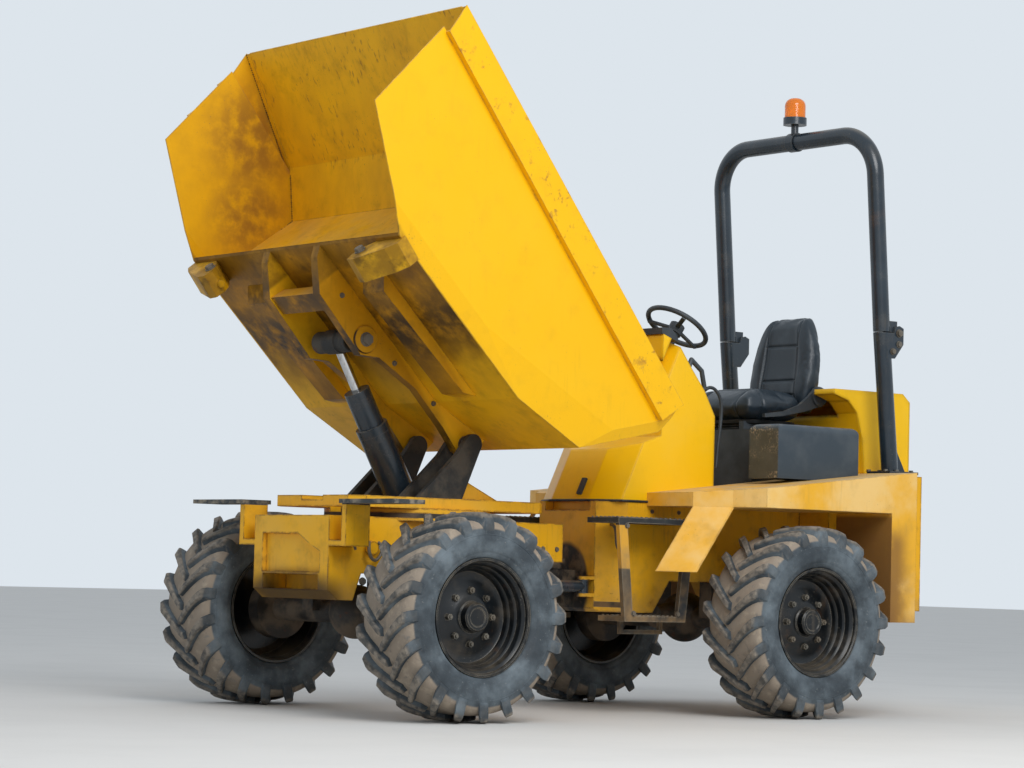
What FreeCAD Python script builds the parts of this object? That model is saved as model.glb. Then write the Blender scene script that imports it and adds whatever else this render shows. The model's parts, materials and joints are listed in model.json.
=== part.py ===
import FreeCAD, Part
import math
import os

# A ride-on site dumper: an articulated four-wheel machine whose skip slews on a turntable
# over the front axle and tips about a pin behind the turntable's middle.
# Millimetres, +Z up, -Y is forward and +X is the operator's left. Lengths along the machine
# are written from the middle of the wheelbase, and the finished model is then set down with
# its origin under the middle of its box, on the ground.

# Running gear
TYRE_D = 1070.0
TYRE_W = 430.0
LUG_HEIGHT = 34.0
LUG_WIDTH = 46.0
LUG_ANGLE = 38.0
LUG_CROWN = 0.80
LUGS_PER_ROW = 20
CARCASS_SIDES = 24
RIM_D = 575.0
RIM_BORE_D = 520.0
RIM_FLANGE = 14.0
DISC_RECESS = 130.0
DISC_THICKNESS = 16.0
HUB_D = 150.0
HUB_LENGTH = 95.0
TRACK = 1880.0
WHEELBASE = 2340.0
AXLE_TUBE_D = 130.0
AXLE_HEAD_D = 290.0
BRAKE_DRUM_D = 330.0
BRAKE_DRUM_LENGTH = 90.0
BEARING_GAP = 0.3
SHOULDER_R = 0.82
EDGE_X = 0.90
EDGE_R = 0.955
FLAT_X = 0.45
BEAD_INSET = 0.80
HUB_BORE_D = 90.0
DISH_DEPTH = 40.0
DISH_SHARE = 0.72
DISH_LIP = 30.0
RUN_GAP = 6.0
DRUM_LAP = 60.0
STUB_PAST_DISC = 20.0
SNOUT = (0.36, 0.22, 0.80)
AXLE_PAD_X = 250.0
AXLE_PAD_HALF_L = 110.0

# How far a cutting form runs past what it cuts
SKIM = 1.0
SPILL = 50.0
FAR = 4000.0

# The two axles, from the middle of the wheelbase
FRONT_AXLE_Y = -WHEELBASE / 2
REAR_AXLE_Y = WHEELBASE / 2

# Front chassis
FRONT_HALF_W = 350.0
FRONT_OVERHANG = 430.0
FRONT_NOSE_Y = FRONT_AXLE_Y - FRONT_OVERHANG
FRONT_TAIL_Y = 0.0
FRONT_TAIL_HALF_W = 300.0
FRONT_TOP_Z = 1040.0
FRONT_BELLY_Z = 740.0
FRONT_TAIL_BELLY_Z = 830.0
FRONT_LIP_Z = 600.0
FRONT_LIP_RISE = 50.0
FRONT_LIP_BACK = (60.0, 160.0, 210.0)
FRONT_BELLY_END_Y = -420.0
FRONT_TAPER_Y = -330.0
FRONT_WELL_D = 500.0
FRONT_WELL_DEPTH = 120.0
NOSE_RECESS = ((-270.0, 740.0), (-270.0, 945.0), (60.0, 945.0), (175.0, 887.0), (270.0, 850.0),
               (270.0, 740.0))
NOSE_RECESS_DEPTH = 26.0
NOSE_SLOT_HALF_W = 260.0
NOSE_SLOT_Z = (650.0, 730.0)
NOSE_SLOT_DEPTH = 150.0
LASHING_AHEAD = 162.0
LASHING_Y = FRONT_AXLE_Y - LASHING_AHEAD
LASHING_Z = 875.0
LASHING_D = 70.0
LASHING_T = 26.0
TURNTABLE_PLATE_D = 940.0
TURNTABLE_PLATE_T = 16.0

# Centre pivot
PIVOT_Y = 140.0
PIVOT_PIN_D = 70.0
PIVOT_EAR_D = 190.0
PIVOT_EAR_T = 56.0
PIVOT_EAR_LOW_Z = 600.0
PIVOT_TONGUE_T = 130.0
PIVOT_GAP = 5.0
PIVOT_PIN_PAST = 20.0
PIVOT_ROOT_T = 26.0
PIVOT_ROOT_LENGTH = 300.0
PIVOT_EYE_INSET = 10.0

# Turntable and platform
SLEW_BEHIND_AXLE = 320.0
SLEW_Y = FRONT_AXLE_Y + SLEW_BEHIND_AXLE
RING_OUTER_D = 900.0
RING_INNER_D = 760.0
RING_T = 25.0
RING_GAP = 0.3
PLATFORM_HALF_W = 400.0
PLATFORM_AHEAD = 625.0
PLATFORM_BEHIND = 670.0
PLATFORM_T = 60.0
PLATFORM_CORNER = 70.0
SLOT_HALF_W = 100.0
SLOT_AHEAD = 60.0
SLOT_RELIEF = 25.0
SLOT_TO_PIN = 60.0

# Skip, measured from its tip pin with the rim level: forward and up
TIP_BEHIND_SLEW = 180.0
TIP_Y = SLEW_Y + TIP_BEHIND_SLEW
TIP_Z = 1450.0
TIP_ANGLE = 52.0
TIP_PIN_D = 60.0
HINGE_X = (150.0, 310.0)
HINGE_T = 35.0
HINGE_HEAD_D = 110.0
HINGE_FOOT = (-360.0, -70.0)
HINGE_HEAD = ((50.0, -20.0), (-30.0, 46.0), (-110.0, -60.0))
HINGE_WEDGE = (200.0, -10.0)
HINGE_WEDGE_H = 95.0
SKIP_HALF_W = 1000.0
SKIP_FLOOR_HALF_W = 975.0
SKIP_WALL = 8.0
RIM_FRONT = (2135.0, 850.0)
CHEEK_FRONT = (2030.0, 90.0)
FLOOR_FRONT = (1390.0, -164.0)
FLOOR_REAR = (295.0, -22.0)
HEEL = (-150.0, 160.0)
REAR_FOOT = (-400.0, 660.0)
RIM_REAR = (-357.0, 850.0)
FLOOR_CREASE = 85.0
HEEL_CREASE = 190.0
REAR_CREASE = 60.0
SPLIT_INSET = 10.0
APRON_UPPER = (1460.0, 700.0)
APRON_LOWER = (1200.0, 530.0)
APRON_FOOT_F = 1230.0
APRON_PAST_FLOOR = 20.0
RIM_BAND_H = 175.0
RIM_STEP = 35.0
RIM_RAKE = 0.3
RIM_REAR_LAP = 20.0
BEAM_X = 235.0
BEAM_T = 60.0
BEAM_TOE = (-40.0, -50.0)
BEAM_DEPTH = 150.0
BEAM_ROUND_EYE = ((80.0, -78.0), (-50.0, -70.0), (-130.0, 20.0))
BEAM_SHANK = ((430.0, -95.0), (160.0, -68.0))
BEAM_ROUND_PIN = ((0.0, -66.0), (-55.0, -36.0), (-70.0, 20.0), (-60.0, 150.0))
BEAM_HEEL_LAP = 60.0
CROSS_BOX_FRONT = 1185.0
CROSS_BOX_LENGTH = 115.0
CROSS_BOX_DEPTH = 95.0
CROSS_BOX_DROP = 140.0
CROSS_BOX_RAKE = (10.0, 12.0)
ARM_INNER_X = 665.0
ARM_FRONT = 1372.0
ARM_LENGTH = 140.0
ARM_DROP = 165.0
ARM_LAP = 20.0
ARM_PAST_FLOOR = 15.0
ARM_NOSE = ((0.0, 60.0), (12.0, 8.0), (70.0, 0.0))
ARM_HEEL = ((-60.0, 75.0), (0.0, 120.0))
ARM_ROOT = 110.0
ARM_BROW = (20.0, 110.0)
ARM_BOLT_D = 44.0
ARM_BOLT_L = 50.0
ARM_BOLT_PROUD = 10.0
ARM_BOLT_BACK = 90.0
ARM_BOLT_UP = 62.0
CHEEK_HOOK_H = (300.0, 570.0)
CHEEK_HOOK_LENGTH = 60.0
CHEEK_HOOK_T = 22.0
CHEEK_HOOK_BACK = 45.0
CHANNEL_X = (455.0, 640.0)
CHANNEL_DEPTH = 62.0
CHANNEL_HEEL_GAP = 20.0
CHANNEL_ARM_GAP = 60.0
CHANNEL_RAMPS = (70.0, 90.0)
CHANNEL_LAP = 5.0
CREASE_CUT = (600.0, 100.0)
CREASE_REACH = 3000.0

# Tipping ram: two stages between the platform and the skip's beams
RAM_FOOT_AHEAD = 190.0
RAM_FOOT_BELOW = 350.0
RAM_EYE = (830.0, -215.0)
RAM_BARREL_D = 176.0
RAM_STAGE_D = 142.0
RAM_ROD_D = 52.0
RAM_PIN_D = 40.0
RAM_EYE_D = 80.0
RAM_EYE_W = 90.0
RAM_TRUNNION_W = 230.0
RAM_BARREL_LENGTH = 500.0
RAM_STAGE_LENGTH = 400.0
RAM_ROD_LENGTH = 480.0
RAM_ROD_OUT = 290.0
RAM_HEEL = 30.0
RAM_BORE_START = 60.0
RAM_COLLAR = 46.0
RAM_COLLAR_T = 2.0
RAM_STAGE_HEEL = 20.0
RAM_EAR_HALF_L = 60.0
RAM_EAR_DROP = 45.0

# Rear chassis
REAR_HALF_W = 350.0
REAR_NOSE_Y = 270.0
REAR_NOSE_HALF_W = 250.0
REAR_NOSE_TAPER = 150.0
REAR_NOTCH_HALF_W = 200.0
REAR_NOTCH_DEPTH = 60.0
REAR_NOTCH_DROP = 52.0
REAR_BELLY_Z = 740.0
REAR_SKIRT_Z = 560.0
REAR_SKIRT_END_Y = 620.0
REAR_DECK_Z = 1180.0
REAR_OVERHANG = 1330.0
REAR_END_Y = REAR_AXLE_Y + REAR_OVERHANG
REAR_BODY_HALF_W = 600.0
REAR_BODY_BEHIND_AXLE = 570.0
REAR_BODY_START_Y = REAR_AXLE_Y + REAR_BODY_BEHIND_AXLE
REAR_BODY_TOP_Z = 1400.0
REAR_TAIL_Z = 600.0
REAR_TOE = (30.0, 20.0)
REAR_SKIRT_RAMP = 120.0
REAR_TAIL_RAMP = 80.0
REAR_BODY_RAMP = 120.0
BAY_AHEAD = 60.0
BAY_END_T = 110.0
BAY_FLOOR_T = 40.0

# Console
CONSOLE_HALF_W = 350.0
CONSOLE_NOSE_HALF_W = 165.0
CONSOLE_NOSE_BACK = 90.0
CONSOLE_FRONT = ((280.0, 1180.0), (420.0, 1480.0))
CONSOLE_BREAST_Y = 655.0
CONSOLE_BREAST_Z = 1560.0
CONSOLE_REAR_Y = 1060.0
CONSOLE_TOP_Z = 2140.0
# The shoulder's corners: ahead of the console's rear, below its top
CONSOLE_SHOULDER = ((0.0, 450.0), (80.0, 310.0), (192.0, 175.0), (295.0, 40.0))
DASH_T = 36.0
DASH_LIP = 10.0
DASH_TOP_LENGTH = 60.0
DASH_DROOP = 16.0

# Steering wheel
STEERING_WHEEL_Y = 1060.0
STEERING_WHEEL_Z = 2225.0
STEERING_WHEEL_D = 400.0
STEERING_RIM_D = 30.0
STEERING_TILT = 33.0
STEERING_HUB_D = 90.0
COLUMN_D = 70.0
STEERING_HUB_L = 60.0
STEERING_HUB_BELOW = 50.0
SPOKE_HALF_W = 13.0
SPOKE_Z = (-22.0, -10.0)
SPOKE_ANGLES = (90.0, 210.0, 330.0)
COLUMN_LENGTH = 300.0

# Mudguards and tanks
GUARD_OUTER_X = 1050.0
GUARD_AHEAD = 610.0
GUARD_FRONT_Y = REAR_AXLE_Y - GUARD_AHEAD
# The broken corner's two points: out from the middle, back from the guard's front
GUARD_CLIP = ((700.0, 36.0), (862.0, 188.0))
GUARD_BREAK = tuple((x, GUARD_FRONT_Y + back) for x, back in GUARD_CLIP)
GUARD_EDGE_BACK = 270.0
GUARD_EDGE_Y = GUARD_FRONT_Y + GUARD_EDGE_BACK
GUARD_LENGTH = 1440.0
GUARD_REAR_Y = GUARD_FRONT_Y + GUARD_LENGTH
GUARD_UNDER_Z = 1160.0
GUARD_FRONT_Z = 1235.0
GUARD_REAR_Z = REAR_BODY_TOP_Z
TYRE_ROOM = 630.0
GUARD_TANK_Y = REAR_AXLE_Y + TYRE_ROOM
GUARD_TANK_Z = 540.0
GUARD_CORNER_BACK = 290.0
GUARD_CORNER_Y = GUARD_REAR_Y + GUARD_CORNER_BACK
GUARD_CORNER_X = 740.0
FLAP_T = 12.0
FLAP_REACH = 265.0
FLAP_FOOT_Z = 795.0

# Bonnet and engine
BONNET_HALF_W = 500.0
BONNET_T = 8.0
BONNET_TOP_Z = 1895.0
BONNET_INSET = 10.0
BONNET_REAR_Y = REAR_END_Y - BONNET_INSET
BONNET_LENGTH = 630.0
BONNET_FRONT_Y = BONNET_REAR_Y - BONNET_LENGTH
BONNET_CHEEK_LENGTH = 200.0
BONNET_MID_Y = BONNET_FRONT_Y + BONNET_CHEEK_LENGTH
BONNET_FOOT_BACK = 260.0
BONNET_FOOT_Y = BONNET_FRONT_Y + BONNET_FOOT_BACK
BONNET_BROW = 30.0
BONNET_DROP = 10.0
BONNET_FOLD = (60.0, 50.0)
# The cheek's lower edge: back from the bonnet's front, below its top
BONNET_CHEEK = ((240.0, 295.0), (190.0, 135.0), (120.0, 65.0))
BONNET_SEAT_HALF_W = 330.0
BONNET_HINGE_X = (210.0, 310.0)
BONNET_HINGE_D = 28.0
BONNET_HINGE_PIN_D = 14.0
BONNET_HINGE_LUG = 15.0
BONNET_HINGE_GAP = 3.0
BONNET_LUG_ROOT = 60.0
ENGINE_HALF_W = 240.0
ENGINE_BEHIND_AXLE = 470.0
ENGINE_LENGTH = 690.0
ENGINE_FRONT_Y = REAR_AXLE_Y + ENGINE_BEHIND_AXLE
ENGINE_Y = (ENGINE_FRONT_Y, ENGINE_FRONT_Y + ENGINE_LENGTH)
ENGINE_Z = (700.0, 1385.0)
MOUNT_UP = 120.0
MOUNT_INSET = 90.0
MOUNT_HALF_L = 35.0
MOUNT_T = 40.0

# Driver's place
SEAT_BOX_HALF_W = 300.0
SEAT_BOX_BEHIND_AXLE = 230.0
SEAT_BOX_LENGTH = 600.0
SEAT_BOX_FRONT_Y = REAR_AXLE_Y + SEAT_BOX_BEHIND_AXLE
SEAT_BOX_REAR_Y = SEAT_BOX_FRONT_Y + SEAT_BOX_LENGTH
SEAT_BOX_TOP_Z = 1640.0
SEAT_BOX_WALL = 12.0
CUSHION_HALF_W = 270.0
CUSHION_PROUD = 10.0
CUSHION_LENGTH = 475.0
CUSHION_FRONT_Y = SEAT_BOX_FRONT_Y - CUSHION_PROUD
CUSHION_REAR_Y = CUSHION_FRONT_Y + CUSHION_LENGTH
SEAT_RAIL_H = 50.0
CUSHION_BOTTOM_Z = SEAT_BOX_TOP_Z + SEAT_RAIL_H
SEAT_RAIL_X = (150.0, 190.0)
SEAT_RAIL_SHIFT = (40.0, 60.0)
CUSHION_EDGE_R = 45.0
CUSHION_T = 170.0
BACK_T = 115.0
BACK_H = 590.0
BACK_LEAN = 5.0
BACK_INSET = 15.0
BACK_EDGE_R = 40.0
BOX_GAP = 10.0
BOX_W = 240.0
BOX_INNER_X = BONNET_HALF_W + BOX_GAP
BOX_X = (BOX_INNER_X, BOX_INNER_X + BOX_W)
BOX_BEHIND_AXLE = 15.0
BOX_LENGTH = 635.0
BOX_FRONT_Y = REAR_AXLE_Y + BOX_BEHIND_AXLE
BOX_Y = (BOX_FRONT_Y, BOX_FRONT_Y + BOX_LENGTH)
BOX_TOP_Z = 1650.0
BOX_SINK = 60.0
BOX_EDGE_R = 40.0

# Roll-over hoop
HOOP_HALF_W = 670.0
HOOP_TUBE = 100.0
HOOP_BEHIND_AXLE = 990.0
HOOP_FOOT_Y = REAR_AXLE_Y + HOOP_BEHIND_AXLE
HOOP_POST_LEAN = 90.0
HOOP_FOLD_Y = HOOP_FOOT_Y - HOOP_POST_LEAN
HOOP_FOLD_Z = 2230.0
HOOP_TOP_LEAN = 100.0
HOOP_TOP_Y = HOOP_FOLD_Y - HOOP_TOP_LEAN
HOOP_TOP_Z = 3460.0
HOOP_CORNER_R = 250.0
HOOP_EAR_T = 14.0
HOOP_JOINT_GAP = 6.0
HOOP_FOOT_T = 16.0
HOOP_PIN_BACK = 95.0
HOOP_PIN_D = 30.0
HOOP_EYE_GAP = 3.0
HOOP_EYE_D = 70.0
HOOP_EYE_ROOT = 65.0
HOOP_PLATE_X = (-80.0, 110.0)
HOOP_PLATE_Y = (-110.0, 125.0)
HOOP_GUSSET = (120.0, 160.0)
HOOP_GUSSET_LAP = 16.0
HOOP_EAR_DROP = 150.0
HOOP_EAR_BACK = 65.0
# The ear's rounded end: back from its pin, above it
HOOP_EAR_END = ((38.0, -65.0), (38.0, 30.0), (5.0, 44.0), (-28.0, 36.0), (-38.0, 0.0))
HOOP_POST_PAST = 0.05

# Steps
STEP_INNER_X = 350.0
STEP_OUTER_X = 620.0
STEP_FRONT_Y = 130.0
STEP_REAR_Y = 690.0
STEP_TOP_Z = 1085.0
STEP_LOW_Z = 515.0
STEP_TAPER = 60.0
STEP_T = 30.0
STEP_RAIL_W = 60.0
STEP_LOW_INSET = 40.0
STIRRUP_Y = (250.0, 560.0)
STIRRUP_DROP = 70.0
STIRRUP_T = 24.0

# Plates over the front tyres
WING_INNER_X = 460.0
WING_OUTER_X = 950.0
WING_LENGTH = 190.0
WING_T = 22.0
WING_AHEAD = 20.0
WING_RISE = 10.0
WING_LEG_T = 40.0
WING_LEG_INSET = 20.0
WING_FOOT_DROP = 160.0
WING_FOOT_T = 30.0

# Steering ram
STEER_RAM_X = 220.0
STEER_RAM_Z = 700.0
STEER_RAM_D = 64.0
STEER_ROD_D = 34.0
STEER_RAM_FRONT_Y = -250.0
STEER_RAM_REAR_Y = 215.0
STEER_FORK_GAP = 76.0
STEER_EAR_T = 20.0
STEER_EYE_D = 66.0
STEER_PIN_D = 28.0
STEER_BARREL_LENGTH = 308.0
STEER_ROD_LENGTH = 300.0
STEER_KNUCKLE_D = 56.0
STEER_FORK_ROOT = 60.0

# Beacon, hitch and handles
BEACON_D = 142.0
BEACON_RIM = 8.0
BEACON_BASE_H = 45.0
BEACON_STEM_D = 45.0
BEACON_STEM_H = 55.0
BEACON_CLAMP_W = 60.0
BEACON_DOME_H = 120.0
BEACON_DOME_R = 48.0
HITCH_PIN_D = 28.0
HITCH_Z = 800.0
HITCH_LENGTH = 110.0
HITCH_W = 100.0
HITCH_JAW = 60.0
HITCH_PLATE_T = 22.0
HITCH_PIN_INSET = 40.0
HANDLE_D = 28.0
HANDLE_INSET = 40.0
# The handle's corners: ahead of the console's rear, below its top
HANDLE_PATH = ((180.0, 190.0), (155.0, 130.0), (75.0, 190.0), (50.0, 290.0), (85.0, 310.0))

UP = FreeCAD.Vector(0, 0, 1)
AHEAD = FreeCAD.Vector(0, -1, 0)
LEFT = FreeCAD.Vector(1, 0, 0)


def vec(x, y, z):
    """A point or direction."""
    return FreeCAD.Vector(x, y, z)


def box(x, y, z):
    """A box between pairs of x, y and z."""
    return Part.makeBox(x[1] - x[0], y[1] - y[0], z[1] - z[0], vec(x[0], y[0], z[0]))


def cylinder(start, axis, diameter, length):
    """A round bar from its start point along an axis."""
    return Part.makeCylinder(diameter / 2, length, start, axis)


def prism_x(points, x0, x1):
    """Extrude a side outline of (y, z) points from x0 to x1."""
    corners = [vec(x0, y, z) for y, z in points]
    face = Part.Face(Part.makePolygon(corners + corners[:1]))
    return face.extrude(vec(x1 - x0, 0, 0))


def prism_y(points, y0, y1):
    """Extrude a front outline of (x, z) points from y0 to y1."""
    corners = [vec(x, y0, z) for x, z in points]
    face = Part.Face(Part.makePolygon(corners + corners[:1]))
    return face.extrude(vec(0, y1 - y0, 0))


def prism_z(points, z0, z1):
    """Extrude a plan outline of (x, y) points from z0 to z1."""
    corners = [vec(x, y, z0) for x, y in points]
    face = Part.Face(Part.makePolygon(corners + corners[:1]))
    return face.extrude(vec(0, 0, z1 - z0))


def ring(centre, axis, outer_d, inner_d, length):
    """A tube wall along an axis from its start point."""
    return cylinder(centre, axis, outer_d, length).cut(cylinder(centre, axis, inner_d, length))


def mirrored(shape):
    """The other side's copy."""
    return shape.mirror(vec(0, 0, 0), LEFT)


def both_sides(shape):
    """A left-hand form joined with its right-hand copy."""
    return shape.fuse(mirrored(shape))


def fused(shapes):
    """One solid of several, without the seams between faces that lie flush."""
    whole = shapes[0]
    for shape in shapes[1:]:
        whole = whole.fuse(shape)
    return whole.removeSplitter()


def regular_polygon(radius, x):
    """Corners of equal sides round a wheel's axle, with a flat at the bottom."""
    corners = []
    for index in range(CARCASS_SIDES):
        angle = 2 * math.pi * (index + 0.5) / CARCASS_SIDES
        corners.append(vec(x, radius * math.sin(angle), -radius * math.cos(angle)))
    return corners


def frustum(x0, r0, x1, r1):
    """A many-sided frustum between two stations on a wheel's axle."""
    near = regular_polygon(r0, x0)
    far = regular_polygon(r1, x1)
    faces = [Part.Face(Part.makePolygon(near + near[:1])), Part.Face(Part.makePolygon(far + far[:1]))]
    for index in range(CARCASS_SIDES):
        after = (index + 1) % CARCASS_SIDES
        quad = [near[index], near[after], far[after], far[index]]
        faces.append(Part.Face(Part.makePolygon(quad + quad[:1])))
    return Part.Solid(Part.makeShell(faces))


def lug(side):
    """One slanted bar of the tread at the bottom of the tyre, on one side of the middle."""
    crown_r = TYRE_D / 2 - LUG_HEIGHT
    half = TYRE_W / 2
    angle = math.radians(LUG_ANGLE)
    tip_r = math.sqrt((TYRE_D / 2) ** 2 - (half / 2 * math.tan(angle) + LUG_WIDTH / 2) ** 2)
    root_r = crown_r * SHOULDER_R
    slant = half * math.tan(angle) / 2
    wide = LUG_WIDTH / 2 / math.cos(angle)
    outline = ((0, -slant - wide), (half, slant - wide), (half, slant + wide), (0, -slant + wide))
    bar = prism_z([(x * side, y) for x, y in outline], -tip_r, -root_r)
    section = ((0, -tip_r), (half * LUG_CROWN, -tip_r), (half, -root_r - LUG_HEIGHT), (half, -root_r),
               (0, -root_r))
    return bar.common(prism_y([(x * side, z) for x, z in section], -half, half))


def tyre():
    """A lugged traction tyre about the X axis: a faceted carcass with two staggered rows of bars."""
    crown_r = TYRE_D / 2 - LUG_HEIGHT
    half = TYRE_W / 2
    bead_x = half * BEAD_INSET
    shoulder_r = crown_r * SHOULDER_R
    belt = ((-half, shoulder_r), (-half * EDGE_X, crown_r * EDGE_R), (-half * FLAT_X, crown_r),
            (half * FLAT_X, crown_r), (half * EDGE_X, crown_r * EDGE_R), (half, shoulder_r))
    carcass = fused([frustum(*start, *end) for start, end in zip(belt, belt[1:])])
    for side in (-1, 1):
        dish = frustum(side * half, shoulder_r, side * bead_x, RIM_D / 2)
        carcass = carcass.cut(dish)
    carcass = carcass.cut(cylinder(vec(-half, 0, 0), LEFT, RIM_D, TYRE_W))
    for start in (-half, bead_x):
        carcass = carcass.cut(cylinder(vec(start, 0, 0), LEFT, RIM_D + 2 * RIM_FLANGE, half - bead_x))
    pitch = 360.0 / LUGS_PER_ROW
    bars = []
    for index in range(LUGS_PER_ROW):
        for side, phase in ((1, 0.0), (-1, 0.5)):
            bar = lug(side)
            bar.rotate(vec(0, 0, 0), LEFT, (index + phase) * pitch)
            bars.append(bar)
    return carcass.fuse(bars).removeSplitter()


def rim():
    """A welded wheel: a barrel with rolled lips and a deep-set disc with a hub cap."""
    half = TYRE_W / 2
    bead_x = half * BEAD_INSET
    barrel = ring(vec(-bead_x, 0, 0), LEFT, RIM_D, RIM_BORE_D, 2 * bead_x)
    for x in (-bead_x - RIM_FLANGE, bead_x):
        barrel = barrel.fuse(ring(vec(x, 0, 0), LEFT, RIM_D + 2 * RIM_FLANGE, RIM_BORE_D, RIM_FLANGE))
    disc_x = bead_x - DISC_RECESS
    disc = cylinder(vec(disc_x - DISC_THICKNESS, 0, 0), LEFT, RIM_BORE_D, DISC_THICKNESS)
    dish_d = RIM_BORE_D * DISH_SHARE
    dish = Part.makeCone(dish_d / 2, HUB_D / 2 + DISH_LIP, DISH_DEPTH, vec(disc_x, 0, 0), LEFT)
    hub = cylinder(vec(disc_x, 0, 0), LEFT, HUB_D, HUB_LENGTH)
    wheel = fused([barrel, disc, dish, hub])
    return wheel.cut(cylinder(vec(-half, 0, 0), LEFT, HUB_BORE_D, half + disc_x + DISH_DEPTH))


def axle(y, snout_turn, belly_z):
    """A drive axle: tube, banjo head and brake drums with a stub into each wheel."""
    z = TYRE_D / 2
    wheel_in = TRACK / 2 - TYRE_W / 2 * BEAD_INSET
    disc_in = TRACK / 2 + TYRE_W / 2 * BEAD_INSET - DISC_RECESS - DISC_THICKNESS
    tube = cylinder(vec(-wheel_in, y, z), LEFT, AXLE_TUBE_D, 2 * wheel_in)
    head = Part.makeSphere(AXLE_HEAD_D / 2, vec(0, y, z))
    root_r, tip_r, length = [AXLE_HEAD_D * share for share in SNOUT]
    snout = Part.makeCone(root_r, tip_r, length, vec(0, y, z), vec(0, snout_turn, 0))
    pieces = [tube, head, snout]
    for side in (-1, 1):
        out = vec(side, 0, 0)
        inner_end = vec(side * (wheel_in - DRUM_LAP), y, z)
        drum = cylinder(inner_end, out, BRAKE_DRUM_D, BRAKE_DRUM_LENGTH)
        stub = cylinder(inner_end, out, HUB_BORE_D - 2 * BEARING_GAP,
                        disc_in + DISC_THICKNESS + STUB_PAST_DISC - wheel_in + DRUM_LAP)
        pad = box(sorted((side * AXLE_PAD_X, side * FRONT_HALF_W)),
                  (y - AXLE_PAD_HALF_L, y + AXLE_PAD_HALF_L), (z, belly_z))
        pieces += [drum, stub, pad]
    return fused(pieces)


def front_frame():
    """The front chassis: a deep nose plate, side rails over the axle and a narrow tail box."""
    lip_front, lip_rear, ramp_end = [FRONT_NOSE_Y + back for back in FRONT_LIP_BACK]
    side = ((FRONT_NOSE_Y, FRONT_TOP_Z), (FRONT_NOSE_Y, FRONT_LIP_Z + FRONT_LIP_RISE),
            (lip_front, FRONT_LIP_Z), (lip_rear, FRONT_LIP_Z), (ramp_end, FRONT_BELLY_Z),
            (FRONT_BELLY_END_Y, FRONT_BELLY_Z), (FRONT_TAPER_Y, FRONT_TAIL_BELLY_Z),
            (FRONT_TAIL_Y, FRONT_TAIL_BELLY_Z), (FRONT_TAIL_Y, FRONT_TOP_Z))
    body = prism_x(side, -FRONT_HALF_W, FRONT_HALF_W)
    past_x, past_y = FRONT_HALF_W + SPILL, FRONT_TAIL_Y + SPILL
    taper = ((FRONT_TAIL_HALF_W, FRONT_TAIL_Y), (FRONT_HALF_W, FRONT_TAPER_Y), (past_x, FRONT_TAPER_Y),
             (past_x, past_y), (FRONT_TAIL_HALF_W, past_y))
    wedge = prism_z(taper, 0, FRONT_TOP_Z + SPILL)
    body = body.cut(wedge).cut(mirrored(wedge))
    body = body.cut(prism_y(NOSE_RECESS, FRONT_NOSE_Y, FRONT_NOSE_Y + NOSE_RECESS_DEPTH))
    slot_y = (FRONT_NOSE_Y, FRONT_NOSE_Y + NOSE_SLOT_DEPTH)
    body = body.cut(box((-NOSE_SLOT_HALF_W, NOSE_SLOT_HALF_W), slot_y, NOSE_SLOT_Z))
    body = body.fuse(cylinder(vec(-FRONT_HALF_W - LASHING_T, LASHING_Y, LASHING_Z), LEFT, LASHING_D,
                              2 * (FRONT_HALF_W + LASHING_T)))
    well_floor = vec(0, SLEW_Y, FRONT_TOP_Z - FRONT_WELL_DEPTH)
    well = cylinder(well_floor, UP, FRONT_WELL_D, FRONT_WELL_DEPTH + SPILL)
    body = body.cut(well)
    plate_foot = vec(0, SLEW_Y, FRONT_TOP_Z - TURNTABLE_PLATE_T)
    plate = cylinder(plate_foot, UP, TURNTABLE_PLATE_D, TURNTABLE_PLATE_T)
    return body.fuse(plate.cut(well)).removeSplitter()


def pivot_fork():
    """The front half of the centre pivot: two ears and the pin between them."""
    pieces = []
    low = PIVOT_EAR_LOW_Z
    wide = (-PIVOT_EAR_D / 2, PIVOT_EAR_D / 2)
    for z in (low, low + PIVOT_EAR_T + PIVOT_TONGUE_T + 2 * PIVOT_GAP):
        ear = cylinder(vec(0, PIVOT_Y, z), UP, PIVOT_EAR_D, PIVOT_EAR_T)
        web = box(wide, (FRONT_TAIL_Y, PIVOT_Y), (z, z + PIVOT_EAR_T))
        pieces += [ear, web]
    top = low + 2 * PIVOT_EAR_T + PIVOT_TONGUE_T + 2 * PIVOT_GAP
    root_end = FRONT_TAIL_Y + PIVOT_ROOT_T
    back = box(wide, (FRONT_TAIL_Y - PIVOT_ROOT_LENGTH, root_end), (low, FRONT_TAIL_BELLY_Z))
    web_top = box(wide, (FRONT_TAIL_Y, root_end), (low, top))
    pin = cylinder(vec(0, PIVOT_Y, low - PIVOT_PIN_PAST), UP, PIVOT_PIN_D, top - low + 2 * PIVOT_PIN_PAST)
    return fused(pieces + [back, web_top, pin])


def pivot_tongue():
    """The rear half of the centre pivot: one eye on a rearward block."""
    z = PIVOT_EAR_LOW_Z + PIVOT_EAR_T + PIVOT_GAP
    half = PIVOT_EAR_D / 2 - PIVOT_EYE_INSET
    eye = cylinder(vec(0, PIVOT_Y, z), UP, 2 * half, PIVOT_TONGUE_T)
    block = box((-half, half), (PIVOT_Y, REAR_NOSE_Y), (z, z + PIVOT_TONGUE_T))
    bore = cylinder(vec(0, PIVOT_Y, z), UP, PIVOT_PIN_D + 2 * BEARING_GAP, PIVOT_TONGUE_T)
    return eye.fuse(block).cut(bore).removeSplitter()


def platform_z():
    """Height of the slewing deck's underside."""
    return FRONT_TOP_Z + 2 * RING_T


def lower_ring():
    """The turntable's race on the front chassis."""
    return ring(vec(0, SLEW_Y, FRONT_TOP_Z), UP, RING_OUTER_D, RING_INNER_D, RING_T)


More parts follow.
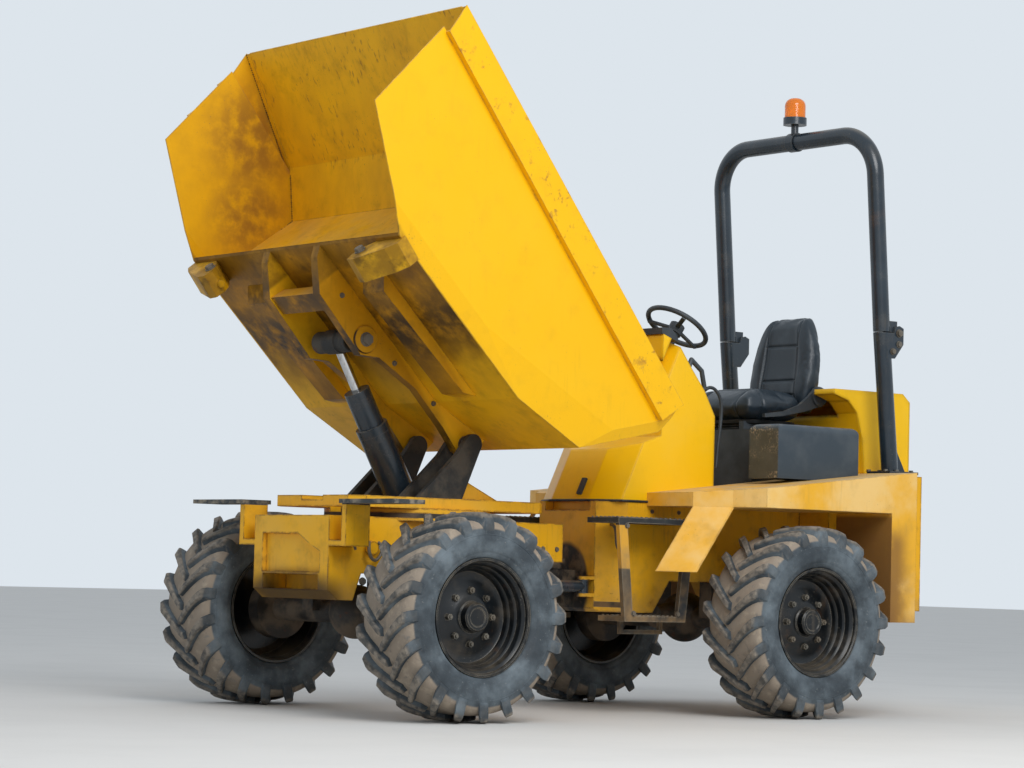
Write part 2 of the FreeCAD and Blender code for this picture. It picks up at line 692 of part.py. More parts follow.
def upper_ring():
    """The turntable's race under the deck."""
    foot = vec(0, SLEW_Y, FRONT_TOP_Z + RING_T + RING_GAP)
    return ring(foot, UP, RING_OUTER_D, RING_INNER_D, RING_T - RING_GAP)


def platform_frame():
    """The slewing deck: a thick plate with clipped corners and a slot for the ram."""
    y0 = SLEW_Y - PLATFORM_AHEAD
    y1 = SLEW_Y + PLATFORM_BEHIND
    x = PLATFORM_HALF_W
    c = PLATFORM_CORNER
    outline = ((-x, y0 + c), (-x + c, y0), (x - c, y0), (x, y0 + c), (x, y1 - c), (x - c, y1), (-x + c, y1),
               (-x, y1 - c))
    z = platform_z()
    deck = prism_z(outline, z, z + PLATFORM_T)
    top = z + PLATFORM_T
    slot_end = TIP_Y - SLOT_TO_PIN
    slot = box((-SLOT_HALF_W, SLOT_HALF_W), (y0 + SLOT_AHEAD, slot_end), (z - 2 * RING_T, top))
    relief = box((-SLOT_HALF_W, SLOT_HALF_W), (y0, y0 + SLOT_AHEAD), (top - SLOT_RELIEF, top))
    wedge_foot, wedge_brow = [TIP_Y + back for back in HINGE_WEDGE]
    wedge_top = top + HINGE_WEDGE_H
    wedge = prism_x(((slot_end, top), (wedge_foot, top), (wedge_brow, wedge_top), (slot_end, wedge_top)),
                    HINGE_X[0] + HINGE_T + BEARING_GAP, HINGE_X[1] - BEARING_GAP)
    return deck.fuse(upper_ring()).cut(slot).cut(relief).fuse(both_sides(wedge)).removeSplitter()


def hinge_brackets():
    """The two upright cheeks that carry the skip's tip pin."""
    z = platform_z() + PLATFORM_T
    outline = [(TIP_Y + back, z) for back in HINGE_FOOT]
    outline += [(TIP_Y + back, TIP_Z + up) for back, up in HINGE_HEAD]
    plates = []
    for x in HINGE_X:
        plate = prism_x(outline, x, x + HINGE_T)
        head = cylinder(vec(x, TIP_Y, TIP_Z), LEFT, HINGE_HEAD_D, HINGE_T)
        plates += [plate, head]
    pin = cylinder(vec(HINGE_X[0], TIP_Y, TIP_Z), LEFT, TIP_PIN_D, HINGE_X[1] + HINGE_T - HINGE_X[0])
    return both_sides(fused(plates + [pin]))


def lowered(f, h):
    """Model (y, z) of a point of the skip when it is down: f ahead of the pin, h above it."""
    return TIP_Y - f, TIP_Z + h


def raised(shape):
    """Turn a piece of the lowered skip up to the pose in which it stands."""
    shape = shape.copy()
    shape.rotate(vec(0, TIP_Y, TIP_Z), LEFT, -TIP_ANGLE)
    return shape


def raised_point(f, h):
    """Model (y, z) of a point of the skip when it is up: f ahead of the pin and h above it when down."""
    angle = math.radians(TIP_ANGLE)
    ahead = f * math.cos(angle) - h * math.sin(angle)
    above = f * math.sin(angle) + h * math.cos(angle)
    return TIP_Y - ahead, TIP_Z + above


def offset_outline(points, distances):
    """Move each edge of a convex outline inward by its own distance."""
    count = len(points)
    area = sum(points[i][0] * points[(i + 1) % count][1] - points[(i + 1) % count][0] * points[i][1]
               for i in range(count))
    turn = 1.0 if area > 0 else -1.0
    lines = []
    for i in range(count):
        (x0, y0), (x1, y1) = points[i], points[(i + 1) % count]
        length = math.hypot(x1 - x0, y1 - y0)
        nx, ny = -(y1 - y0) / length * turn, (x1 - x0) / length * turn
        lines.append((nx, ny, nx * x0 + ny * y0 + distances[i]))
    corners = []
    for i in range(count):
        a1, b1, c1 = lines[i - 1]
        a2, b2, c2 = lines[i]
        det = a1 * b2 - a2 * b1
        corners.append(((c1 * b2 - c2 * b1) / det, (a1 * c2 - a2 * c1) / det))
    return corners


def folded_plate(points, thickness):
    """The section of a plate folded along an open line, thickened to the line's left."""
    normals = []
    for (x0, y0), (x1, y1) in zip(points, points[1:]):
        length = math.hypot(x1 - x0, y1 - y0)
        normals.append((-(y1 - y0) / length, (x1 - x0) / length))
    inner = []
    for index, (x, y) in enumerate(points):
        before = normals[max(index - 1, 0)]
        after = normals[min(index, len(normals) - 1)]
        share = thickness / (1 + before[0] * after[0] + before[1] * after[1])
        inner.append((x + (before[0] + after[0]) * share, y + (before[1] + after[1]) * share))
    return list(points) + inner[::-1]


SKIP_OUTLINE = (RIM_FRONT, CHEEK_FRONT, FLOOR_FRONT, FLOOR_REAR, HEEL, REAR_FOOT, RIM_REAR)
SKIP_CREASES = ((FLOOR_FRONT, FLOOR_REAR, FLOOR_CREASE), (FLOOR_REAR, HEEL, HEEL_CREASE),
                (HEEL, REAR_FOOT, REAR_CREASE))


def skip_hull(inset, spill):
    """The skip's solid form, inset on its walls and carried past its open rim and mouth."""
    outline = offset_outline(SKIP_OUTLINE, (-spill, -spill, inset, inset, inset, inset, -spill))
    half = SKIP_HALF_W - inset
    hull = prism_x([lowered(f, h) for f, h in outline], -half, half)
    for start, end, depth in SKIP_CREASES:
        (f0, h0), (f1, h1) = start, end
        length = math.hypot(f1 - f0, h1 - h0)
        ef, eh = (f1 - f0) / length, (h1 - h0) / length
        nf, nh = eh, -ef
        mid_f, mid_h = (RIM_FRONT[0] + HEEL[0]) / 2, RIM_FRONT[1] / 2
        if nf * (mid_f - f0) + nh * (mid_h - h0) < 0:
            nf, nh = -nf, -nh
        slope = depth / (SKIP_HALF_W - SKIP_FLOOR_HALF_W)
        shift = inset * math.sqrt(1 + slope * slope)
        low_d, high_x = -CREASE_CUT[0], SKIP_HALF_W + CREASE_CUT[1]
        low_x = SKIP_FLOOR_HALF_W + (low_d - shift) / slope
        high_d = slope * (high_x - SKIP_FLOOR_HALF_W) + shift
        for side in (-1, 1):
            corners = []
            for d, x in ((low_d, low_x), (high_d, high_x), (low_d, high_x)):
                y, z = lowered(f0 + nf * d - ef * CREASE_REACH, h0 + nh * d - eh * CREASE_REACH)
                corners.append(vec(side * x, y, z))
            face = Part.Face(Part.makePolygon(corners + corners[:1]))
            run = length + 2 * CREASE_REACH
            hull = hull.cut(face.extrude(vec(0, -ef * run, eh * run)))
    return hull


def skip_panels():
    """The skip's walls, split where the pressings meet: two sides, the floor and the rear wall."""
    shell = skip_hull(0.0, 0.0).cut(skip_hull(SKIP_WALL, SPILL))
    cut_x = SKIP_FLOOR_HALF_W - SPLIT_INSET
    left = shell.common(box((cut_x, FAR), (-FAR, FAR), (0, FAR)))
    middle = shell.common(box((-cut_x, cut_x), (-FAR, FAR), (0, FAR)))
    heel_y = lowered(*HEEL)[0]
    floor = middle.common(box((-FAR, FAR), (-FAR, heel_y), (0, FAR)))
    rear = middle.common(box((-FAR, FAR), (heel_y, FAR), (0, FAR)))
    return left, floor, rear


def skip_apron():
    """The folded plate from the front rim down to the floor that closes the hopper."""
    line = (RIM_FRONT, APRON_UPPER, APRON_LOWER, (APRON_FOOT_F, FLOOR_REAR[1] - APRON_PAST_FLOOR))
    outline = folded_plate(line, SKIP_WALL)
    plate = prism_x([lowered(f, h) for f, h in outline], -SKIP_HALF_W, SKIP_HALF_W)
    return plate.common(skip_hull(SKIP_WALL, 0.0))


def rim_channel(inset):
    """The room that the left wall's stepped-out top takes up, less a wall's thickness on its faces."""
    lower = RIM_REAR[1] - RIM_BAND_H + inset
    spill = SPILL if inset else 0.0
    front = RIM_FRONT[0] + spill
    outline = ((RIM_REAR[0] + inset, RIM_REAR[1] + spill), (front, RIM_FRONT[1] + spill),
               (front - RIM_BAND_H * RIM_RAKE, lower), (RIM_REAR[0] + RIM_REAR_LAP + inset, lower))
    section = [lowered(f, h) for f, h in outline]
    return prism_x(section, SKIP_HALF_W - SKIP_WALL, SKIP_HALF_W + RIM_STEP - inset)


def skip_beam():
    """The left one of the two deep beams under the floor, from the mouth back to the tip pin."""
    eye_f, eye_h = RAM_EYE
    toe_f, toe_h = BEAM_TOE
    outline = [FLOOR_FRONT, (FLOOR_FRONT[0] + toe_f, FLOOR_FRONT[1] + toe_h),
               (CROSS_BOX_FRONT, FLOOR_FRONT[1] - BEAM_DEPTH)]
    outline += [(eye_f + f, eye_h + h) for f, h in BEAM_ROUND_EYE]
    outline += BEAM_SHANK + BEAM_ROUND_PIN + ((FLOOR_REAR[0], FLOOR_REAR[1] + BEAM_HEEL_LAP),)
    x0 = BEAM_X - BEAM_T / 2
    beam = prism_x([lowered(f, h) for f, h in outline], x0, x0 + BEAM_T)
    y, z = lowered(0, 0)
    beam = beam.cut(cylinder(vec(x0, y, z), LEFT, TIP_PIN_D + 2 * BEARING_GAP, BEAM_T))
    return beam.cut(skip_hull(0.0, 0.0))


def floor_height(f):
    """Height of the floor's underside at a distance ahead of the tip pin."""
    (f0, h0), (f1, h1) = FLOOR_REAR, FLOOR_FRONT
    return h0 + (h1 - h0) * (f - f0) / (f1 - f0)


def floor_channel():
    """A stiffening channel under the floor's left half, running to the heel."""
    f0, f1 = FLOOR_REAR[0] + CHANNEL_HEEL_GAP, FLOOR_FRONT[0] - ARM_LENGTH - CHANNEL_ARM_GAP
    h0, h1 = floor_height(f0), floor_height(f1)
    outline = ((f0, h0 + CHANNEL_LAP), (f0 + CHANNEL_RAMPS[0], h0 - CHANNEL_DEPTH),
               (f1 - CHANNEL_RAMPS[1], h1 - CHANNEL_DEPTH), (f1, h1 + CHANNEL_LAP))
    body = prism_x([lowered(f, h) for f, h in outline], *CHANNEL_X)
    return body.cut(skip_hull(0.0, 0.0))


def mouth_box():
    """The cross member between the beams at the mouth."""
    f0 = CROSS_BOX_FRONT
    f1 = f0 - CROSS_BOX_LENGTH
    x = BEAM_X - BEAM_T / 2
    low = FLOOR_FRONT[1] - CROSS_BOX_DROP
    rake, step = CROSS_BOX_RAKE
    outline = ((f0, low), (f0 - rake, low + CROSS_BOX_DEPTH), (f1, low + CROSS_BOX_DEPTH), (f1, low + step))
    block = prism_x([lowered(f, h) for f, h in outline], -x, x)
    return block.cut(skip_hull(0.0, 0.0))


def mouth_arm():
    """The left bracket arm under the mouth's corner, with its bolt."""
    top = FLOOR_FRONT[1] + ARM_LAP
    low = FLOOR_FRONT[1] - ARM_DROP
    inner = ARM_INNER_X
    outer = SKIP_FLOOR_HALF_W + ARM_PAST_FLOOR
    front_y, front_z = lowered(ARM_FRONT, 0)
    rear_y = lowered(ARM_FRONT - ARM_LENGTH, 0)[0]
    outline = [(inner + x, low + h) for x, h in ARM_NOSE]
    outline += [(outer + x, low + h) for x, h in ARM_HEEL]
    outline += [(outer, top), (inner + ARM_ROOT, top), (inner + ARM_BROW[0], low + ARM_BROW[1])]
    arm = prism_y([(x, front_z + h) for x, h in outline], front_y, rear_y)
    arm = arm.cut(skip_hull(0.0, 0.0))
    bolt_y, bolt_z = lowered(ARM_FRONT - ARM_BOLT_BACK, low + ARM_BOLT_UP)
    bolt = cylinder(vec(inner - ARM_BOLT_PROUD, bolt_y, bolt_z), LEFT, ARM_BOLT_D, ARM_BOLT_L)
    return arm.fuse(bolt).removeSplitter()


def cheek_hooks():
    """Small blocks welded outside the right cheek's front edge."""
    pieces = []
    (f0, h0), (f1, h1) = CHEEK_FRONT, RIM_FRONT
    for h in CHEEK_HOOK_H:
        f = f0 + (f1 - f0) * (h - h0) / (h1 - h0)
        y, z = lowered(f, h)
        pieces.append(box((-SKIP_HALF_W - CHEEK_HOOK_T, -SKIP_HALF_W), (y, y + CHEEK_HOOK_BACK),
                          (z, z + CHEEK_HOOK_LENGTH)))
    return pieces


def ram_geometry():
    """Foot, raised eye and unit direction of the tipping ram."""
    foot = vec(0, TIP_Y - RAM_FOOT_AHEAD, TIP_Z - RAM_FOOT_BELOW)
    eye = vec(0, *raised_point(*RAM_EYE))
    line = eye.sub(foot)
    return foot, eye, line.multiply(1 / line.Length), eye.sub(foot).Length


def ram_parts():
    """The tipping ram drawn out: barrel on its foot pin, middle stage and rod."""
    foot, eye, line, length = ram_geometry()
    wall = 2 * BEARING_GAP
    bore = cylinder(foot.add(line * RAM_BORE_START), line, RAM_STAGE_D + wall, RAM_BARREL_LENGTH)
    barrel = cylinder(foot.add(line * RAM_HEEL), line, RAM_BARREL_D, RAM_BARREL_LENGTH - RAM_HEEL).cut(bore)
    collar_start = foot.add(line * (RAM_BARREL_LENGTH - RAM_COLLAR))
    collar = cylinder(collar_start, line, RAM_BARREL_D + 2 * RAM_COLLAR_T, RAM_COLLAR).cut(bore)
    foot_eye = cylinder(foot.add(vec(-RAM_EYE_W / 2, 0, 0)), LEFT, RAM_EYE_D, RAM_EYE_W)
    foot_bore = cylinder(foot.add(vec(-RAM_EYE_W / 2, 0, 0)), LEFT, RAM_PIN_D + wall, RAM_EYE_W)
    barrel = fused([barrel, collar, foot_eye]).cut(foot_bore)
    stage_start = foot.add(line * (length - RAM_ROD_OUT - RAM_STAGE_LENGTH))
    stage = cylinder(stage_start, line, RAM_STAGE_D, RAM_STAGE_LENGTH)
    rod_bore = cylinder(stage_start.add(line * RAM_STAGE_HEEL), line, RAM_ROD_D + wall, RAM_STAGE_LENGTH)
    stage = stage.cut(rod_bore)
    rod_start = foot.add(line * (length - RAM_ROD_LENGTH))
    rod = cylinder(rod_start, line, RAM_ROD_D, RAM_ROD_LENGTH - RAM_PIN_D / 2)
    eye_boss = cylinder(eye.add(vec(-RAM_TRUNNION_W / 2, 0, 0)), LEFT, RAM_EYE_D, RAM_TRUNNION_W)
    pin_x = BEAM_X - BEAM_T / 2 - BEARING_GAP
    pin = cylinder(eye.add(vec(-pin_x, 0, 0)), LEFT, RAM_PIN_D, 2 * pin_x)
    rod = fused([rod, eye_boss, pin])
    return barrel, stage, rod


def ram_foot():
    """The clevis under the platform's slot that holds the ram's foot pin."""
    foot = ram_geometry()[0]
    top = platform_z() + PLATFORM_T
    ears = []
    inner = RAM_BARREL_D / 2 + RUN_GAP
    for side in (-1, 1):
        ears.append(box(sorted((side * inner, side * SLOT_HALF_W)),
                        (foot.y - RAM_EAR_HALF_L, foot.y + RAM_EAR_HALF_L), (foot.z - RAM_EAR_DROP, top)))
    pin = cylinder(vec(-SLOT_HALF_W, foot.y, foot.z), LEFT, RAM_PIN_D, 2 * SLOT_HALF_W)
    return fused(ears + [pin])


def wing(side):
    """The narrow step plate over the front tyre, on its bracket from the nose."""
    y0 = FRONT_NOSE_Y - WING_AHEAD
    y1 = y0 + WING_LENGTH
    z = platform_z() + WING_RISE
    plate = box((WING_INNER_X, WING_OUTER_X), (y0, y1), (z, z + WING_T))
    leg_y = (y0 + WING_LEG_INSET, y1 - WING_LEG_INSET)
    low = FRONT_TOP_Z - WING_FOOT_DROP
    leg = box((WING_INNER_X, WING_INNER_X + WING_LEG_T), leg_y, (low, z))
    foot = box((FRONT_HALF_W, WING_INNER_X + WING_LEG_T), leg_y, (low, low + WING_FOOT_T))
    part = fused([plate, leg, foot])
    return part if side > 0 else mirrored(part)


def rear_frame():
    """The rear chassis: a tapered nose, skirts to the pivot and an open engine bay."""
    toe_back, toe_up = REAR_TOE
    side = ((REAR_NOSE_Y, REAR_DECK_Z), (REAR_NOSE_Y, REAR_SKIRT_Z + toe_up),
            (REAR_NOSE_Y + toe_back, REAR_SKIRT_Z), (REAR_SKIRT_END_Y, REAR_SKIRT_Z),
            (REAR_SKIRT_END_Y + REAR_SKIRT_RAMP, REAR_BELLY_Z), (REAR_BODY_START_Y, REAR_BELLY_Z),
            (REAR_BODY_START_Y + REAR_TAIL_RAMP, REAR_TAIL_Z),
            (REAR_END_Y, REAR_TAIL_Z), (REAR_END_Y, REAR_BODY_TOP_Z),
            (REAR_BODY_START_Y + REAR_BODY_RAMP, REAR_BODY_TOP_Z), (REAR_BODY_START_Y, REAR_DECK_Z))
    body = prism_x(side, -REAR_BODY_HALF_W, REAR_BODY_HALF_W)
    plan = ((-REAR_NOSE_HALF_W, REAR_NOSE_Y), (REAR_NOSE_HALF_W, REAR_NOSE_Y),
            (REAR_HALF_W, REAR_NOSE_Y + REAR_NOSE_TAPER), (REAR_HALF_W, REAR_BODY_START_Y),
            (REAR_BODY_HALF_W, REAR_BODY_START_Y), (REAR_BODY_HALF_W, REAR_END_Y),
            (-REAR_BODY_HALF_W, REAR_END_Y), (-REAR_BODY_HALF_W, REAR_BODY_START_Y),
            (-REAR_HALF_W, REAR_BODY_START_Y), (-REAR_HALF_W, REAR_NOSE_Y + REAR_NOSE_TAPER))
    body = body.common(prism_z(plan, 0, REAR_BODY_TOP_Z))
    bay_x = SEAT_BOX_HALF_W
    bay = box((-bay_x, bay_x), (ENGINE_Y[0] - BAY_AHEAD, REAR_END_Y - BAY_END_T),
              (REAR_TAIL_Z + BAY_FLOOR_T, REAR_BODY_TOP_Z))
    notch = box((-REAR_NOTCH_HALF_W, REAR_NOTCH_HALF_W), (REAR_NOSE_Y, REAR_NOSE_Y + REAR_NOTCH_DEPTH),
                (REAR_DECK_Z - REAR_NOTCH_DROP, REAR_DECK_Z))
    return body.cut(bay).cut(notch).removeSplitter()


def engine():
    """The engine at its place under the seat and bonnet, as a plain block."""
    return box((-ENGINE_HALF_W, ENGINE_HALF_W), ENGINE_Y, ENGINE_Z)


def engine_mounts():
    """Four feet that carry the engine on the chassis rails."""
    feet = []
    z = ENGINE_Z[0] + MOUNT_UP
    for y in (ENGINE_Y[0] + MOUNT_INSET, ENGINE_Y[1] - MOUNT_INSET):
        along = (y - MOUNT_HALF_L, y + MOUNT_HALF_L)
        feet.append(box((ENGINE_HALF_W, SEAT_BOX_HALF_W), along, (z, z + MOUNT_T)))
    return feet


def shoulder():
    """Model (y, z) of the console's shoulder corners, from its rear up to the top."""
    return [(CONSOLE_REAR_Y - ahead, CONSOLE_TOP_Z - below) for ahead, below in CONSOLE_SHOULDER]


def console():
    """The folded housing ahead of the driver, narrow at its nose so that the skip can slew."""
    (foot_y, foot_z), (brow_y, brow_z) = CONSOLE_FRONT
    side = [(foot_y, foot_z), (brow_y, brow_z), (CONSOLE_BREAST_Y, CONSOLE_BREAST_Z),
            (CONSOLE_BREAST_Y, CONSOLE_TOP_Z)]
    side += shoulder()[::-1] + [(CONSOLE_REAR_Y, REAR_DECK_Z)]
    body = prism_x(side, -CONSOLE_HALF_W, CONSOLE_HALF_W)
    lean = (brow_y - foot_y) / (brow_z - foot_z)
    for turn in (1, -1):
        base = [vec(turn * CONSOLE_NOSE_HALF_W, foot_y, foot_z), vec(turn * CONSOLE_HALF_W, foot_y, foot_z),
                vec(turn * CONSOLE_HALF_W, foot_y + CONSOLE_NOSE_BACK, foot_z)]
        rise = CONSOLE_TOP_Z - foot_z
        wedge = Part.Face(Part.makePolygon(base + base[:1])).extrude(vec(0, lean * rise, rise))
        body = body.cut(wedge)
    return body


def dash():
    """The black instrument hood on the console."""
    rear_y, rear_z = shoulder()[-1]
    front_y = CONSOLE_BREAST_Y - DASH_LIP
    hood_z = CONSOLE_TOP_Z + DASH_T
    points = ((front_y, CONSOLE_TOP_Z), (front_y, hood_z), (CONSOLE_BREAST_Y + DASH_TOP_LENGTH, hood_z),
              (rear_y, CONSOLE_TOP_Z - DASH_DROOP), (rear_y, rear_z), (CONSOLE_BREAST_Y, CONSOLE_TOP_Z))
    hood = prism_x(points, -CONSOLE_HALF_W, CONSOLE_HALF_W)
    return hood.cut(console())


def steering_axis():
    """Direction of the steering column, up and back."""
    tilt = math.radians(STEERING_TILT)
    return vec(0, math.sin(tilt), math.cos(tilt))


def steering_wheel():
    """A rim on three spokes and a hub."""
    axis = steering_axis()
    centre = vec(0, STEERING_WHEEL_Y, STEERING_WHEEL_Z)
    radius = (STEERING_WHEEL_D - STEERING_RIM_D) / 2
    rim_tube = Part.makeTorus(radius, STEERING_RIM_D / 2, centre, axis)
    hub = cylinder(centre.sub(axis * STEERING_HUB_BELOW), axis, STEERING_HUB_D, STEERING_HUB_L)
    pieces = [rim_tube, hub]
    for angle in SPOKE_ANGLES:
        spoke = box((0, radius), (-SPOKE_HALF_W, SPOKE_HALF_W), SPOKE_Z)
        spoke.rotate(vec(0, 0, 0), UP, angle)
        spoke.rotate(vec(0, 0, 0), LEFT, -STEERING_TILT)
        spoke.translate(centre)
        pieces.append(spoke)
    return fused(pieces)


def column():
    """The steering column from the console to just under the wheel's hub."""
    axis = steering_axis()
    top = vec(0, STEERING_WHEEL_Y, STEERING_WHEEL_Z).sub(axis * (STEERING_HUB_BELOW + BEARING_GAP))
    tube = cylinder(top.sub(axis * COLUMN_LENGTH), axis, COLUMN_D, COLUMN_LENGTH)
    return tube.cut(console())


def guard(side):
    """A rear mudguard: a rising ledge over the tyre and a tank behind it, with a clipped corner."""
    outline = ((GUARD_FRONT_Y, GUARD_UNDER_Z), (GUARD_FRONT_Y, GUARD_FRONT_Z), (GUARD_REAR_Y, GUARD_REAR_Z),
               (GUARD_CORNER_Y, GUARD_REAR_Z), (GUARD_CORNER_Y, GUARD_TANK_Z), (GUARD_TANK_Y, GUARD_TANK_Z),
               (GUARD_TANK_Y, GUARD_UNDER_Z))
    body = prism_x(outline, REAR_HALF_W, GUARD_OUTER_X)
    plan = ((REAR_HALF_W, GUARD_FRONT_Y), *GUARD_BREAK, (GUARD_OUTER_X, GUARD_EDGE_Y),
            (GUARD_OUTER_X, GUARD_REAR_Y), (GUARD_CORNER_X, GUARD_CORNER_Y),
            (REAR_BODY_HALF_W, GUARD_CORNER_Y), (REAR_BODY_HALF_W, REAR_BODY_START_Y),
            (REAR_HALF_W, REAR_BODY_START_Y))
    body = body.common(prism_z(plan, 0, GUARD_REAR_Z)).fuse(flap())
    return body if side > 0 else mirrored(body)


def flap():
    """The plate that slopes down and forward from the ledge's broken corner, ahead of a rear tyre."""
    (x0, y0), (x1, y1) = GUARD_BREAK
    corners = [vec(x0, y0, GUARD_UNDER_Z), vec(x1, y1, GUARD_UNDER_Z), vec(x1, y1 - FLAP_REACH, FLAP_FOOT_Z),
               vec(x0, y0 - FLAP_REACH, FLAP_FOOT_Z)]
    return Part.Face(Part.makePolygon(corners + corners[:1])).extrude(vec(0, FLAP_T, 0))


def seat_box():
    """The seat's pedestal, open below and behind to the engine."""
    outer = box((-SEAT_BOX_HALF_W, SEAT_BOX_HALF_W), (SEAT_BOX_FRONT_Y, SEAT_BOX_REAR_Y),
                (REAR_DECK_Z, SEAT_BOX_TOP_Z))
    t = SEAT_BOX_WALL
    inner = box((-SEAT_BOX_HALF_W + t, SEAT_BOX_HALF_W - t), (SEAT_BOX_FRONT_Y + t, SEAT_BOX_REAR_Y + SKIM),
                (REAR_DECK_Z - SKIM, SEAT_BOX_TOP_Z - t))
    return outer.cut(inner)


def seat_rails():
    """The two slide rails between the pedestal and the cushion."""
    front, rear = CUSHION_FRONT_Y + SEAT_RAIL_SHIFT[0], CUSHION_REAR_Y + SEAT_RAIL_SHIFT[1]
    rail = box(SEAT_RAIL_X, (front, rear), (SEAT_BOX_TOP_Z, CUSHION_BOTTOM_Z))
    return fused([rail, mirrored(rail)])


def edges_above(shape, z):
    """Edges of a form that lie wholly above a height."""
    return [edge for edge in shape.Edges if edge.BoundBox.ZMin > z]


def cushion():
    """The seat's cushion, rounded along its upper edges."""
    top = CUSHION_BOTTOM_Z + CUSHION_T
    block = box((-CUSHION_HALF_W, CUSHION_HALF_W), (CUSHION_FRONT_Y, CUSHION_REAR_Y),
                (CUSHION_BOTTOM_Z, top))
    return block.makeFillet(CUSHION_EDGE_R, edges_above(block, top - CUSHION_EDGE_R))


def backrest():
    """The seat's back, leaned rearward, rounded down its sides and over its top."""
    half = CUSHION_HALF_W - BACK_INSET
    block = box((-half, half), (0, BACK_T), (0, BACK_H))
    block = block.makeFillet(BACK_EDGE_R, [edge for edge in block.Edges if edge.BoundBox.ZMax > BACK_EDGE_R])
    block.rotate(vec(0, 0, 0), LEFT, -BACK_LEAN)
    block.translate(vec(0, CUSHION_REAR_Y, CUSHION_BOTTOM_Z + CUSHION_T / 3))
    return block


def tool_box(side):
    """The black cabinet on the ledge beside the seat."""
    block = box(BOX_X, BOX_Y, (GUARD_REAR_Z - BOX_SINK, BOX_TOP_Z))
    block = block.makeFillet(BOX_EDGE_R, edges_above(block, BOX_TOP_Z - BOX_EDGE_R))
    block = block.cut(guard(1))
    return block if side > 0 else mirrored(block)


def bonnet_form(inset, drop):
    """The engine cover's outer form, or the room inside it: set in on its faces, dropped past its foot."""
    front, rear = BONNET_FRONT_Y + inset, BONNET_REAR_Y - inset
    foot_z = GUARD_REAR_Z - drop
    fold_y, fold_z = BONNET_FOLD
    side = [(front, BONNET_TOP_Z - BONNET_BROW), (front, BONNET_TOP_Z - inset),
            (rear - fold_y, BONNET_TOP_Z - inset), (rear, BONNET_TOP_Z - fold_z - inset), (rear, foot_z),
            (BONNET_FOOT_Y + inset, foot_z)]
    side += [(front + back, BONNET_TOP_Z - below) for back, below in BONNET_CHEEK]
    return prism_x(side, -BONNET_HALF_W + inset, BONNET_HALF_W - inset)


def bonnet():
    """The engine cover: a folded hood whose cheeks reach forward round the seat."""
    hood = bonnet_form(0.0, 0.0).cut(bonnet_form(BONNET_T, BONNET_DROP))
    notch = box((-BONNET_SEAT_HALF_W, BONNET_SEAT_HALF_W), (BONNET_FRONT_Y, BONNET_MID_Y),
                (REAR_DECK_Z, BONNET_TOP_Z))
    hood = hood.cut(notch)
    y, z = bonnet_axis()
    inner, outer = BONNET_HINGE_X[0] + BONNET_HINGE_GAP, BONNET_HINGE_X[1] - BONNET_HINGE_GAP
    for side in (-1, 1):
        x0, x1 = sorted((side * inner, side * outer))
        knuckle = cylinder(vec(x0, y, z), LEFT, BONNET_HINGE_D, x1 - x0)
        tab = box((x0, x1), (BONNET_REAR_Y - BONNET_T, y), (z - BONNET_HINGE_D / 3, z + BONNET_HINGE_D / 3))
        bore = cylinder(vec(x0, y, z), LEFT, BONNET_HINGE_PIN_D + 2 * BEARING_GAP, x1 - x0)
        hood = hood.fuse(knuckle.fuse(tab).cut(bore))
    return hood.removeSplitter()


def bonnet_axis():
    """Model (y, z) of the bonnet's hinge pins, just behind its rear wall."""
    return BONNET_REAR_Y + BONNET_HINGE_D / 2 + RUN_GAP, REAR_BODY_TOP_Z + BONNET_HINGE_D / 2 + RUN_GAP


def bonnet_lugs():
    """The chassis's half of the bonnet's hinges: lugs with a pin between them."""
    y, z = bonnet_axis()
    pieces = []
    x0, x1 = BONNET_HINGE_X
    half = BONNET_HINGE_D / 2
    for start in (x0 - BONNET_HINGE_LUG, x1):
        pieces.append(cylinder(vec(start, y, z), LEFT, BONNET_HINGE_D, BONNET_HINGE_LUG))
        pieces.append(box((start, start + BONNET_HINGE_LUG), (y - half, y + half),
                          (REAR_BODY_TOP_Z - BONNET_LUG_ROOT, z)))
    pieces.append(cylinder(vec(x0, y, z), LEFT, BONNET_HINGE_PIN_D, x1 - x0))
    return fused(pieces)


